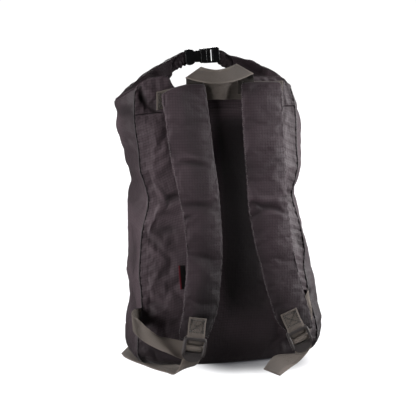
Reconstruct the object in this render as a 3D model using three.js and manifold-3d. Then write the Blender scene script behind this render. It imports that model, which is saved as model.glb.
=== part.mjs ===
// A roll-top backpack standing on its base, with its back panel and straps towards -Y.
// Millimetres, +Z up, +X to the right as the straps are seen, the floor at Z = 0.
import * as THREE from "three";
import { mergeVertices } from "three/addons/utils/BufferGeometryUtils.js";
import Module from "manifold-3d";

const wasm = await Module();
wasm.setup();

// Driving sizes
const GAP = 0.4;               // clearance between neighbouring pieces
const CLOTH = 1.5;             // wall of the cloth shell
const PIPING_RADIUS = 1.2;
const PIPING_TUCK = 0.6;       // how far the piping's middle lies inside the seam's corner
const SEAM_EDGE = 2.8;         // from a piped seam's corner to the edge of each cloth
const BUTT_EDGE = 2;           // from a plain corner to the edge of the cloth that butts on it
const SIDE_EDGE = 0.1;         // from that corner to the edge of the cloth that covers it
const COLLAR_SEAM = 1.2;       // between the collar and the walls below it where there is no piping
const WEBBING = 1.6;           // thickness of all webbing
const WEBBING_WIDTH = 25;
const BACK_CROWN = 6;          // swell of the back panel across its width
const FRONT_CROWN = 14;
const FRONT_TAPER = 18;        // each front seam lies this far inside the back seam
const BASE_ROUND = 10;         // rounding of the base along its edges
const CORNER_ROUND = 30;       // and at its corners
const CORNER_REACH = { back: 0.2, side: 0.3, front: 0.2 };

// The four walls, in the order in which the seam coordinate u runs round the bag
const BACK = 0;
const RIGHT = 1;
const FRONT = 2;
const LEFT = 3;

// Sections of the body from the floor up: the back seams, how far each side swells past the
// straight line between its two seams, and where the back and front walls stand
const BODY_SECTIONS = [
  { z: 0, seamL: -131, seamR: 133, swellL: 12, swellR: 16, back: -70, front: 62 },
  { z: 16, seamL: -132, seamR: 134, swellL: 13, swellR: 20, back: -70, front: 64 },
  { z: 45, seamL: -131, seamR: 134, swellL: 13, swellR: 24, back: -69, front: 66 },
  { z: 80, seamL: -125, seamR: 125, swellL: 12, swellR: 22, back: -66.5, front: 67 },
  { z: 109, seamL: -125, seamR: 119.5, swellL: 12, swellR: 23, back: -65, front: 68 },
  { z: 134, seamL: -127, seamR: 115, swellL: 12, swellR: 22, back: -63.5, front: 68 },
  { z: 160, seamL: -125.5, seamR: 116, swellL: 12, swellR: 15, back: -62, front: 68 },
  { z: 195, seamL: -122, seamR: 109, swellL: 13, swellR: 10, back: -60, front: 67 },
  { z: 237, seamL: -112, seamR: 98, swellL: 21, swellR: 10, back: -56.5, front: 64 },
  { z: 262, seamL: -117, seamR: 103, swellL: 14, swellR: 9, back: -56.5, front: 63 },
  { z: 281, seamL: -123, seamR: 106, swellL: 15, swellR: 9, back: -56, front: 62 },
  { z: 310, seamL: -125, seamR: 104, swellL: 20, swellR: 15, back: -54.5, front: 59 },
  { z: 340, seamL: -129, seamR: 103.5, swellL: 27, swellR: 16, back: -53, front: 55 },
  { z: 365, seamL: -130, seamR: 101.5, swellL: 33, swellR: 10, back: -52, front: 51 },
  { z: 385, seamL: -128.5, seamR: 97, swellL: 38, swellR: 8, back: -51, front: 47 },
  { z: 412, seamL: -126, seamR: 92, swellL: 40, swellR: 6, back: -50, front: 43 },
];

// Dents and creases pressed into the walls: where, how far they reach, and how deep
const FOLDS = [
  { wall: BACK, u: 0.09, z: 371, reachU: 0.06, reachZ: 14, depth: 8 },
  { wall: BACK, u: 0.15, z: 216, reachU: 0.09, reachZ: 10, depth: 4 },
  { wall: BACK, u: 0.07, z: 96, reachU: 0.06, reachZ: 12, depth: 4 },
  { wall: BACK, u: 0.93, z: 236, reachU: 0.06, reachZ: 12, depth: 4 },
  { wall: RIGHT, u: 0.3, z: 238, reachU: 0.5, reachZ: 9, depth: 6 },
  { wall: LEFT, u: 0.5, z: 258, reachU: 0.5, reachZ: 9, depth: 7 },
  { wall: LEFT, u: 0.6, z: 352, reachU: 0.3, reachZ: 12, depth: 7 },
  { wall: FRONT, u: 0.5, z: 238, reachU: 0.4, reachZ: 12, depth: 5 },
];

const FOLD_FADE = 0.2;         // folds fade out towards the seams

// The upper edge of the body round the bag, and the seam between back panel and yoke
const TOP_EDGE = [
  { u: 0, z: 392 }, { u: 0.05, z: 404 }, { u: 0.1, z: 408 }, { u: 0.2, z: 394 },
  { u: 0.3, z: 388 }, { u: 0.5, z: 391 }, { u: 0.75, z: 392 }, { u: 0.87, z: 399 },
  { u: 0.94, z: 400 }, { u: 1, z: 388 }, { u: 1.5, z: 382 }, { u: 2, z: 374 },
  { u: 2.5, z: 366 }, { u: 3, z: 374 }, { u: 3.5, z: 385 }, { u: 4, z: 392 },
];
const YOKE_SEAM = [
  { u: 0, z: 345 }, { u: 0.15, z: 348 }, { u: 0.45, z: 365 }, { u: 1, z: 365 },
];

// How the walls are divided into flat facets
const WALL_LEVELS = [0, 2, 6, 14, 28, 48, 70, 95, 120, 145, 170, 195, 218, 238, 258, 281, 305];
const SIDE_LEVELS = [...WALL_LEVELS, 328, 350];
const STRIPS_ACROSS = { back: 14, side: 8, front: 10 };
const YOKE_STEPS = 3;
const MEASURING_LEVEL = 150;   // height at which a wall's width is taken
const COLLAR_STRIPS = { back: 14, side: 10, front: 12 };
const COLLAR_STEPS = 7;

// The ring that the rolled mouth is bent into, seen from the straps as an upright oval
const RING = { x: -17.5, y: 14, z: 391, halfWidth: 62, halfHeight: 40, openAngle: 31 };
const ROLL = { halfRadial: 10, halfThick: 5.5, steps: 28, sides: 12 };
const COLLAR = {
  foldRadial: 12.5,            // how far outside the roll's middle the side folds pass
  lipRadial: 4,                // how far out the lips grip the roll elsewhere
  lipGrip: 0.3,                // how far inside the roll's widest part the lips press
  foldShare: 0.05,             // part of the mouth over which the lips close into a fold
  blendShare: 0.2,
  sideShare: 0.19,             // part of the mouth taken up by half a side panel
  riseAtFold: 24,
  riseAtMiddle: 9,
  reachAtFold: 42,
  reachAtMiddle: 25,
};

// Padded straps: level, outer and inner edge, front face and thickness
const STRAP_LEFT = [
  { z: 402, left: -62, right: -36, face: -69, thick: 5.5 },
  { z: 397, left: -82, right: -34, face: -71.5, thick: 8 },
  { z: 389, left: -95, right: -33, face: -73, thick: 9.5 },
  { z: 352, left: -92, right: -29, face: -76.5, thick: 11 },
  { z: 312, left: -89, right: -26, face: -84, thick: 11.5 },
  { z: 272, left: -82, right: -22, face: -92, thick: 11.5 },
  { z: 244, left: -77, right: -19.2, face: -94, thick: 11 },
  { z: 217, left: -72, right: -17.5, face: -96, thick: 11.5 },
  { z: 175, left: -68.3, right: -15.8, face: -98, thick: 11.5 },
  { z: 151, left: -67.7, right: -16.4, face: -98, thick: 11.5 },
  { z: 118, left: -70.7, right: -19.3, face: -98, thick: 11.5 },
  { z: 87, left: -73.4, right: -22, face: -97, thick: 11 },
  { z: 58, left: -79, right: -31.7, face: -97.5, thick: 9 },
  { z: 47, left: -78.5, right: -37, face: -97.8, thick: 6 },
];
const STRAP_RIGHT = [
  { z: 401, left: 18, right: 72, face: -69, thick: 5.5 },
  { z: 396, left: 15.8, right: 75, face: -71.5, thick: 8 },
  { z: 389, left: 15.6, right: 75.5, face: -73, thick: 9.5 },
  { z: 354, left: 16.6, right: 76.8, face: -76.5, thick: 11 },
  { z: 333, left: 17, right: 77, face: -80, thick: 11.5 },
  { z: 291, left: 18, right: 76.4, face: -88, thick: 11.5 },
  { z: 258, left: 20, right: 77, face: -92, thick: 11.5 },
  { z: 226, left: 21.6, right: 80, face: -94, thick: 11 },
  { z: 196, left: 26.4, right: 83.8, face: -96, thick: 11.5 },
  { z: 166, left: 32.7, right: 88.3, face: -97, thick: 11.5 },
  { z: 140, left: 40.2, right: 94, face: -97, thick: 11.5 },
  { z: 118, left: 45.4, right: 99.8, face: -97, thick: 11.5 },
  { z: 88, left: 54.6, right: 108.9, face: -97, thick: 11 },
  { z: 63, left: 63, right: 115.6, face: -97.5, thick: 9 },
  { z: 48, left: 75.9, right: 118, face: -97.8, thick: 6 },
];
const STRAP_SIDES = 14;
const STRAP_SQUARENESS = 3.2;  // power of the strap's oval section

// The webbing band across the yoke: its middle line and how far it stands off the cloth
const YOKE_BAND = [
  { x: -97, z: 377, off: 0.7 }, { x: -78, z: 381, off: 0.7 }, { x: -58, z: 385, off: 1.4 },
  { x: -36, z: 388, off: 1.6 }, { x: -20, z: 389.5, off: 5 }, { x: -6, z: 389.5, off: 7 },
  { x: 6, z: 389, off: 3 }, { x: 16, z: 388.5, off: 1.6 }, { x: 44, z: 388, off: 1.4 },
  { x: 64, z: 387.5, off: 0.7 }, { x: 82, z: 387.5, off: 0.7 },
];

// The grab handle: near and far edge of the band, then of the ends that fold down from it
const HANDLE_BAND = [
  { near: [-62.7, -77, 409], far: [-36.7, -60.5, 422.2] },
  { near: [-46.8, -93, 405.2], far: [-30, -72, 420.4] },
  { near: [-25.8, -102, 403], far: [-19.9, -80, 419.5] },
  { near: [1.2, -96, 405], far: [-4.2, -74, 421.3] },
  { near: [33, -77, 412.7], far: [13, -60.5, 425.3] },
];
const HANDLE_END_LEFT = [
  { near: [-62.4, -76.5, 409.2], far: [-37, -60.5, 422] },
  { near: [-59.5, -67, 406.8], far: [-35, -61.2, 412] },
  { near: [-58.5, -62.6, 403.4], far: [-34, -62.6, 404] },
  { near: [-58.5, -62.6, 384], far: [-34, -62.6, 384] },
];
const HANDLE_END_RIGHT = [
  { near: [13.3, -60.5, 425], far: [32.8, -76.5, 412.8] },
  { near: [14, -61.2, 413], far: [36, -67, 408] },
  { near: [15, -62.6, 404], far: [38, -62.6, 403.6] },
  { near: [15, -62.6, 384], far: [38, -62.6, 384] },
];

// Ladder locks: a frame with a bar at the top, a middle bar, two slots and a rounded lip
const LOCK = { halfWidth: 16, thick: 3.5, top: 18, upperSlot: [5.5, 12], lowerSlot: [-4, 2.5], lip: -18 };
const SLOT_HALF_WIDTH = 13.2;
const LOCK_LEFT = { x: -58.5, y: -102.5, z: 33, turn: 10 };
const LOCK_RIGHT = { x: 97.5, y: -102.5, z: 36, turn: -22 };
const TAB_LENGTH = 27;         // webbing tab above the lock's top edge
const TAB_OFF = 3.1;           // from the lock's mid plane to the middle of the tab round its bar
const TAB_RISE = 4.1;          // how far behind that plane the tab lies on the strap

// The adjusters between side seam and lock: middle line and direction of the webbing's width
const ADJUSTER_LEFT = [
  { at: [-126.4, -67.9, 76], across: [0.12, 0.06, 1] },
  { at: [-132, -77.5, 77.5], across: [0.06, 0.2, 1] },
  { at: [-137, -86, 80], across: [0.1, 0.45, 0.9] },
  { at: [-140.5, -94.5, 79], across: [0.2, 0.5, 0.85] },
  { at: [-139, -102, 73], across: [0.25, 0.5, 0.83] },
  { at: [-129, -107, 66], across: [0.3, 0.35, 0.89] },
  { at: [-113, -107.5, 56], across: [0.35, 0.1, 0.93] },
  { at: [-95, -104.5, 44], across: [0.38, 0, 0.92] },
  { at: [-82, -101.8, 36.5], across: [0.35, 0, 0.94] },
  { at: [-73, -98.2, 31.5], across: [0.32, 0, 0.95] },
  { at: [-57, -97, 27], across: [0.25, 0, 0.97] },
];
const ADJUSTER_RIGHT = [
  { at: [122.8, -66.8, 93], across: [-0.19, 0.05, 1] },
  { at: [126.5, -76.5, 91], across: [-0.3, 0.2, 0.93] },
  { at: [124.5, -82, 83], across: [-0.65, 0.2, 0.73] },
  { at: [118, -83.5, 68], across: [-0.88, 0.05, 0.47] },
  { at: [110, -84.5, 52], across: [-0.93, 0, 0.37] },
  { at: [104.5, -86.5, 37], across: [-0.93, 0, 0.37] },
  { at: [102, -90, 29], across: [-0.93, 0, -0.1] },
  { at: [101.5, -94, 27], across: [-0.93, 0, -0.37] },
  { at: [100, -97, 32], across: [-0.93, 0, -0.37] },
];
// The free ends of the webbing below each lock: left and right edge, down to the floor
const TAIL_LEFT = [
  { near: [-80, -105, 8.5], far: [-55, -94, 7] },
  { near: [-88.5, -107.5, 3], far: [-66.5, -88, 2.8] },
  { near: [-105, -97, 1.4], far: [-86, -80, 1.4] },
  { near: [-123, -80, 1.3], far: [-103.5, -65, 1.3] },
  { near: [-140, -65, 1.5], far: [-121.5, -52, 3] },
  { near: [-150, -52, 1.9], far: [-137.5, -46, 11] },
  { near: [-153, -36, 1.9], far: [-145.5, -34, 20] },
  { near: [-151, -8, 1.6], far: [-146.5, -7, 25.5] },
  { near: [-148, 14, 1.6], far: [-144.5, 14, 26] },
];
const TAIL_RIGHT = [
  { near: [84, -105, 9], far: [102, -112, 11] },
  { near: [64, -112, 2.8], far: [79, -131, 2.8] },
  { near: [41.5, -118, 1.2], far: [54, -140, 1.2] },
];

// The label in the outer edge of the left strap
const LABEL = { low: 118, high: 152, width: 7.6, thick: 1 };

// The side-release buckle, in its own frame: length along X, height along Z
const BUCKLE = { x: -17.5, y: 14, z: 431.5, turn: -4, thick: 10, mouth: 3, end: 25 };
const BUCKLE_CAVITY = { depth: 17, halfHeight: 8.8, halfThick: 2.4 };
const PRONG_THICK = 3.8;
const BUCKLE_SLOT = { from: 12, to: 15, halfHeight: 8.2 };
const BUCKLE_TAB = { halfHeight: 9, thick: 2.2, seatLeft: 1.8, seatRight: 0.7 };

// Colour and roughness of each kind of piece
const FINISH = {
  cloth: { color: 0x4a4346, roughness: 0.8 },
  strap: { color: 0x3c3437, roughness: 0.85 },
  webbing: { color: 0x6e6762, roughness: 0.8 },
  piping: { color: 0x151214, roughness: 0.7 },
  plastic: { color: 0x1c1b1c, roughness: 0.3 },
  lock: { color: 0x464242, roughness: 0.45 },
  label: { color: 0x121012, roughness: 0.6 },
};

const bag = new THREE.Group();

// Adds one named piece to the bag, or to a group of it
function addPiece(name, geometry, finish, parent = bag) {
  const material = new THREE.MeshStandardMaterial({ ...finish, metalness: 0 });
  const mesh = new THREE.Mesh(geometry, material);
  mesh.name = name;
  parent.add(mesh);
}

const lerp = THREE.MathUtils.lerp;
const vector = (xyz) => new THREE.Vector3(...xyz);
const radians = THREE.MathUtils.degToRad;

// A smooth value of one column of a table between its rows
function between(rows, key, column, at) {
  const last = rows.length - 1;
  const where = THREE.MathUtils.clamp(at, rows[0][key], rows[last][key]);
  let i = 0;
  while (i < last - 1 && rows[i + 1][key] < where) i += 1;
  const slope = (k) => {
    const before = rows[Math.max(k - 1, 0)];
    const after = rows[Math.min(k + 1, last)];
    return (after[column] - before[column]) / (after[key] - before[key]);
  };
  const span = rows[i + 1][key] - rows[i][key];
  const t = (where - rows[i][key]) / span;
  const ease = t * t * (3 - 2 * t);
  const lift = span * t * (1 - t) * ((1 - t) * slope(i) - t * slope(i + 1));
  return lerp(rows[i][column], rows[i + 1][column], ease) + lift;
}

const evenly = (from, to, count) => Array.from({ length: count + 1 }, (_, i) => lerp(from, to, i / count));
const topEdge = (u) => between(TOP_EDGE, "u", "z", u);
const yokeSeam = (u) => between(YOKE_SEAM, "u", "z", u);
const roundBag = (u) => (u + 4) % 4;

// How near a place on a wall is to a vertical seam, from 0 to 1
function cornerness(wall, t) {
  const reach = wall === BACK ? CORNER_REACH.back : wall === FRONT ? CORNER_REACH.front : CORNER_REACH.side;
  return Math.exp(-((t / reach) ** 2)) + Math.exp(-(((1 - t) / reach) ** 2));
}

// How deep the folds press one place of a wall inwards
function foldDepth(wall, t, z) {
  const here = FOLDS.filter((fold) => fold.wall === wall);
  return here.reduce((sum, fold) => {
    const away = ((t - fold.u) / fold.reachU) ** 2 + ((z - fold.z) / fold.reachZ) ** 2;
    const offSeam = Math.min(4 * t * (1 - t) / FOLD_FADE, 1);
    return sum + offSeam * fold.depth * Math.exp(-away);
  }, 0);
}

// A point of the body's outer face: u runs round the bag from the left back seam, tuck is inwards
function bodyPoint(u, height, tuck = 0) {
  const z = Math.max(height, 0);
  const wall = Math.floor(u) % 4;
  const t = u - Math.floor(u);
  const value = (column) => between(BODY_SECTIONS, "z", column, z);
  const round = lerp(BASE_ROUND, CORNER_ROUND, Math.min(cornerness(wall, t), 1));
  const under = Math.max(round - z, 0);
  const inset = tuck + round - Math.sqrt(round ** 2 - under ** 2);
  const dent = foldDepth(wall, t, z);
  const arch = 4 * t * (1 - t);
  const left = value("seamL") + inset;
  const right = value("seamR") - inset;
  const back = value("back") + inset;
  const front = value("front") - inset;
  if (wall === BACK) return new THREE.Vector3(lerp(left, right, t), back - BACK_CROWN * arch + dent, z);
  const frontLeft = left + FRONT_TAPER;
  const frontRight = right - FRONT_TAPER;
  if (wall === RIGHT) {
    const swell = value("swellR") * arch - dent;
    return new THREE.Vector3(lerp(right, frontRight, t) + swell, lerp(back, front, t), z);
  }
  if (wall === FRONT) {
    return new THREE.Vector3(lerp(frontRight, frontLeft, t), front + FRONT_CROWN * arch - dent, z);
  }
  const swell = value("swellL") * arch - dent;
  return new THREE.Vector3(lerp(frontLeft, left, t) - swell, lerp(front, back, t), z);
}

// A geometry from points and the triangles between them
function meshOf(points, triangles) {
  const geometry = new THREE.BufferGeometry();
  geometry.setAttribute("position", new THREE.Float32BufferAttribute(points.flatMap((p) => p.toArray()), 3));
  geometry.setIndex(triangles);
  geometry.computeVertexNormals();
  return geometry;
}

// A closed wall of even thickness under a surface: rows run upwards, columns to the right
function wall(surface, us, vs, closed = false) {
  const step = 1e-3;
  const outer = vs.flatMap((v) => us.map((u) => surface(u, v)));
  const inner = vs.flatMap((v) => us.map((u) => {
    const along = surface(u + step, v).sub(surface(u - step, v));
    const up = surface(u, v + step).sub(surface(u, v - step));
    return surface(u, v).addScaledVector(along.cross(up).normalize(), -CLOTH);
  }));
  const columns = us.length;
  const rows = vs.length;
  const out = (r, c) => r * columns + (c % columns);
  const back = (r, c) => rows * columns + out(r, c);
  const triangles = [];
  const quad = (a, b, c, d) => triangles.push(a, b, c, a, c, d);
  const spans = closed ? columns : columns - 1;
  const end = rows - 1;
  for (let c = 0; c < spans; c += 1) {
    for (let r = 0; r < end; r += 1) {
      quad(out(r, c), out(r, c + 1), out(r + 1, c + 1), out(r + 1, c));
      quad(back(r, c), back(r + 1, c), back(r + 1, c + 1), back(r, c + 1));
    }
    quad(back(0, c), back(0, c + 1), out(0, c + 1), out(0, c));
    quad(out(end, c), out(end, c + 1), back(end, c + 1), back(end, c));
  }
  for (let r = 0; r < end && !closed; r += 1) {
    quad(out(r, 0), out(r + 1, 0), back(r + 1, 0), back(r, 0));
    quad(out(r, spans), back(r, spans), back(r + 1, spans), out(r + 1, spans));
  }
  return meshOf([...outer, ...inner], triangles);
}

// A solid swept through frames, each with a middle and the two half axes of a convex outline
function sweep(frames, outline) {
  const points = frames.flatMap(({ middle, a, b }) => outline.map(([x, y]) => (
    middle.clone().addScaledVector(a, x).addScaledVector(b, y)
  )));
  const n = outline.length;
  const triangles = [];
  for (let i = 0; i < frames.length - 1; i += 1) {
    for (let j = 0; j < n; j += 1) {
      const here = i * n + j;
      const next = i * n + ((j + 1) % n);
      triangles.push(here, next, next + n, here, next + n, here + n);
    }
  }
  const last = (frames.length - 1) * n;
  for (let j = 1; j < n - 1; j += 1) {
    triangles.push(0, j + 1, j);
    triangles.push(last, last + j, last + j + 1);
  }
  return meshOf(points, triangles);
}

const SQUARE = [[-1, -1], [1, -1], [1, 1], [-1, 1]];

// An oval outline, squarer with a higher power
function oval(sides, power) {
  return evenly(0, 2 * Math.PI, sides).slice(0, sides).map((angle) => {
    const soften = (value) => Math.sign(value) * Math.abs(value) ** (2 / power);
    return [soften(Math.cos(angle)), soften(Math.sin(angle))];
  });
}

// Flat webbing between two edges, drawn smoothly through their points
function webbing(rows, thick = WEBBING, stepsBetween = 3) {
  const near = new THREE.CatmullRomCurve3(rows.map((row) => vector(row.near)), false, "centripetal");
  const far = new THREE.CatmullRomCurve3(rows.map((row) => vector(row.far)), false, "centripetal");
  const count = (rows.length - 1) * stepsBetween;
  const middleAt = (t) => near.getPoint(t).add(far.getPoint(t)).multiplyScalar(0.5);
  const frames = evenly(0, 1, count).map((t) => {
    const a = far.getPoint(t).sub(near.getPoint(t)).multiplyScalar(0.5);
    const along = middleAt(Math.min(t + 0.01, 1)).sub(middleAt(Math.max(t - 0.01, 0)));
    const b = along.cross(a).normalize().multiplyScalar(thick / 2);
    return { middle: middleAt(t), a, b };
  });
  return sweep(frames, SQUARE);
}

// Edges of webbing of full width from its middle line and the direction across it
function edges({ at, across }, width = WEBBING_WIDTH) {
  const half = vector(across).setLength(width / 2);
  return { near: vector(at).sub(half).toArray(), far: vector(at).add(half).toArray() };
}

function toSolid(geometry) {
  const bare = new THREE.BufferGeometry();
  bare.setAttribute("position", geometry.getAttribute("position"));
  bare.setIndex(geometry.getIndex());
  const merged = mergeVertices(bare);
  const vertProperties = Float32Array.from(merged.getAttribute("position").array);
  const triVerts = Uint32Array.from(merged.getIndex().array);
  return new wasm.Manifold(new wasm.Mesh({ numProp: 3, vertProperties, triVerts }));
}

function fromSolid(solid) {
  const { vertProperties, triVerts } = solid.getMesh();
  const geometry = new THREE.BufferGeometry();
  geometry.setAttribute("position", new THREE.BufferAttribute(vertProperties, 3));
  geometry.setIndex([...triVerts]);
  geometry.computeVertexNormals();
  return geometry;
}

const join = (geometries) => fromSolid(geometries.map(toSolid).reduce((sum, next) => sum.add(next)));
const cut = (geometry, tool) => fromSolid(toSolid(geometry).subtract(toSolid(tool)));

// A plate in the X-Z plane, centred on Y = 0
function plate(shape, thick, curveSegments = 6) {
  const geometry = new THREE.ExtrudeGeometry(shape, { depth: thick, bevelEnabled: false, curveSegments });
  return geometry.rotateX(Math.PI / 2).translate(0, thick / 2, 0);
}

const rectangle = (x0, z0, x1, z1) => [[x0, z0], [x1, z0], [x1, z1], [x0, z1]];
const pathOf = (corners) => new THREE.Path(corners.map(([x, z]) => new THREE.Vector2(x, z)));
const shapeOf = (corners) => new THREE.Shape(corners.map(([x, z]) => new THREE.Vector2(x, z)));

// Columns of facets across a wall, leaving its edges clear of the neighbouring walls
function columns(wallIndex, count, startEdge, endEdge) {
  const start = bodyPoint(wallIndex, MEASURING_LEVEL);
  const width = start.distanceTo(bodyPoint(roundBag(wallIndex + 1), MEASURING_LEVEL));
  return evenly(wallIndex + startEdge / width, wallIndex + 1 - endEdge / width, count);
}

const BACK_COLUMNS = columns(BACK, STRIPS_ACROSS.back, SEAM_EDGE, SEAM_EDGE);
const RIGHT_COLUMNS = columns(RIGHT, STRIPS_ACROSS.side, SEAM_EDGE, SIDE_EDGE);
const FRONT_COLUMNS = columns(FRONT, STRIPS_ACROSS.front, BUTT_EDGE, BUTT_EDGE);
const LEFT_COLUMNS = columns(LEFT, STRIPS_ACROSS.side, SIDE_EDGE, SEAM_EDGE);
const BACK_END = 0.99999;       // the end of the back wall, just before the right one starts
const PIPED_SEAM = 2 * (PIPING_RADIUS + GAP);
const COLLAR_FOOT = PIPED_SEAM + 4 * GAP;

// The height at which something clears the sloping top edge by a given distance
function aboveEdge(u, distance) {
  const step = 0.01;
  const level = topEdge(u);
  const run = bodyPoint(roundBag(u + step), level).distanceTo(bodyPoint(roundBag(u - step), level));
  const climb = topEdge(roundBag(u + step)) - topEdge(roundBag(u - step));
  return level + distance * Math.hypot(1, climb / run);
}

// Cloth walls of the body
function addBody() {
  const panel = (levels, topAt) => (u, v) => {
    const row = THREE.MathUtils.clamp(Math.floor(v), 0, levels.length - 1);
    const high = row + 1 < levels.length ? levels[row + 1] : topAt(u);
    return bodyPoint(u, lerp(levels[row], high, v - row));
  };
  const rowsOf = (levels) => evenly(0, levels.length, levels.length);
  const underCollar = (u) => aboveEdge(u, COLLAR_FOOT - COLLAR_SEAM);
  addPiece("back_panel", wall(panel(WALL_LEVELS, yokeSeam), BACK_COLUMNS, rowsOf(WALL_LEVELS)), FINISH.cloth);
  const yoke = (u, v) => bodyPoint(u, lerp(yokeSeam(u) + GAP, topEdge(u), v));
  addPiece("back_yoke", wall(yoke, BACK_COLUMNS, evenly(0, 1, YOKE_STEPS)), FINISH.cloth);
  const tall = panel(SIDE_LEVELS, underCollar);
  const tallRows = rowsOf(SIDE_LEVELS);
  addPiece("side_panel_right", wall(tall, RIGHT_COLUMNS, tallRows), FINISH.cloth);
  addPiece("front_panel", wall(tall, FRONT_COLUMNS, tallRows), FINISH.cloth);
  addPiece("side_panel_left", wall(tall, LEFT_COLUMNS, tallRows), FINISH.cloth);
  const round = [...BACK_COLUMNS, ...RIGHT_COLUMNS, ...FRONT_COLUMNS, ...LEFT_COLUMNS];
  const outline = round.map((u) => bodyPoint(u, 0, GAP)).map((p) => new THREE.Vector2(p.x, p.y));
  const floor = new THREE.ExtrudeGeometry(new THREE.Shape(outline), { depth: CLOTH, bevelEnabled: false });
  addPiece("base_panel", floor, FINISH.cloth);
}

// Piping up the left back seam, along the top of the yoke and down the right back seam
function addPiping() {
  const tucked = (u, z) => bodyPoint(u, z, PIPING_TUCK);
  const levels = [...SIDE_LEVELS.filter((z) => z > 2), 363, 378];
  const upTo = (u) => [...levels, topEdge(u) + 3 * GAP];
  const leftSeam = upTo(BACK_COLUMNS[0]).map((z) => tucked(0, z));
  const top = BACK_COLUMNS.slice(1, -1).map((u) => tucked(u, aboveEdge(u, PIPED_SEAM / 2 + GAP / 2)));
  const rightSeam = upTo(BACK_COLUMNS.at(-1)).map((z) => tucked(BACK_END, z)).reverse();
  const route = [...leftSeam, ...top, ...rightSeam];
  const frames = route.map((middle, i) => {
    const along = route[Math.min(i + 1, route.length - 1)].clone().sub(route[Math.max(i - 1, 0)]);
    const b = new THREE.Vector3(0, -1, 0);
    const a = b.clone().cross(along).setLength(PIPING_RADIUS);
    return { middle, a, b: along.cross(a).setLength(PIPING_RADIUS) };
  });
  addPiece("back_piping", sweep(frames, oval(6, 2)), FINISH.piping);
}

// A point of the ring's middle line, with the direction along it and straight out of it
function ringAt(s) {
  const angle = radians(lerp(90 + RING.openAngle, 450 - RING.openAngle, s));
  const cos = Math.cos(angle);
  const sin = Math.sin(angle);
  const middle = new THREE.Vector3(RING.x + RING.halfWidth * cos, RING.y, RING.z + RING.halfHeight * sin);
  const along = new THREE.Vector3(-RING.halfWidth * sin, 0, RING.halfHeight * cos).normalize();
  const outward = new THREE.Vector3(RING.halfHeight * cos, 0, RING.halfWidth * sin).normalize();
  return { middle, along, outward };
}

// The neck of cloth between the body and the two lips that grip the roll
function collarPoint(turn, v) {
  const u = roundBag(turn);
  const share = COLLAR.sideShare;
  const across = 1 - 2 * share;
  const behind = u >= 3.5 || u <= 1.5;
  let s = u >= 3.5 ? (u - 3.5) * 2 * share : share + u * across;
  if (u > 1 && u <= 1.5) s = 1 - share + (u - 1) * 2 * share;
  if (u > 1.5 && u <= 2) s = 1 - (u - 1.5) * 2 * share;
  if (u > 2 && u <= 3) s = 1 - share - (u - 2) * across;
  if (u > 3 && u < 3.5) s = share - (u - 3) * 2 * share;
  const { middle, outward } = ringAt(s);
  const toFold = Math.min(s, 1 - s);
  const shut = 1 - Math.min(toFold / COLLAR.foldShare, 1);
  const side = behind ? -1 : 1;
  const halfGap = (ROLL.halfThick - COLLAR.lipGrip + CLOTH) * Math.sqrt(1 - shut * shut);
  const blend = THREE.MathUtils.smoothstep(toFold, COLLAR.foldShare, COLLAR.blendShare);
  const lip = middle.addScaledVector(outward, lerp(COLLAR.foldRadial, COLLAR.lipRadial, blend));
  lip.y += side * halfGap;
  const foot = bodyPoint(u, aboveEdge(u, COLLAR_FOOT));
  const middleness = THREE.MathUtils.smoothstep(toFold, 0, 0.35);
  const inwards = new THREE.Vector3(0.15 * Math.sign(RING.x - foot.x), -0.35 * side * middleness, 1);
  const rise = inwards.setLength(lerp(COLLAR.riseAtFold, COLLAR.riseAtMiddle, middleness));
  const awayX = Math.sign(s - 0.5) * (1 - middleness);
  const away = new THREE.Vector3(awayX, side * middleness, -0.15 + 0.4 * middleness);
  const reach = away.setLength(lerp(COLLAR.reachAtFold, COLLAR.reachAtMiddle, middleness));
  const bend = new THREE.CubicBezierCurve3(foot, foot.clone().add(rise), lip.clone().add(reach), lip);
  return bend.getPoint(THREE.MathUtils.clamp(v, 0, 1));
}

function addCollarAndRoll() {
  const { back, side, front } = COLLAR_STRIPS;
  const stretches = [[0, 1, back], [1, 2, side], [2, 3, front], [3, 4, side]];
  const us = stretches.flatMap(([from, to, count]) => evenly(from, to, count).slice(0, -1));
  addPiece("collar", wall(collarPoint, us, evenly(0, 1, COLLAR_STEPS), true), FINISH.cloth);
  const frames = evenly(0, 1, ROLL.steps).map((s) => {
    const { middle, outward } = ringAt(s);
    const a = outward.multiplyScalar(ROLL.halfRadial);
    return { middle, a, b: new THREE.Vector3(0, ROLL.halfThick, 0) };
  });
  addPiece("roll_top", sweep(frames, oval(ROLL.sides, 3)), FINISH.cloth);
}

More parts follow.
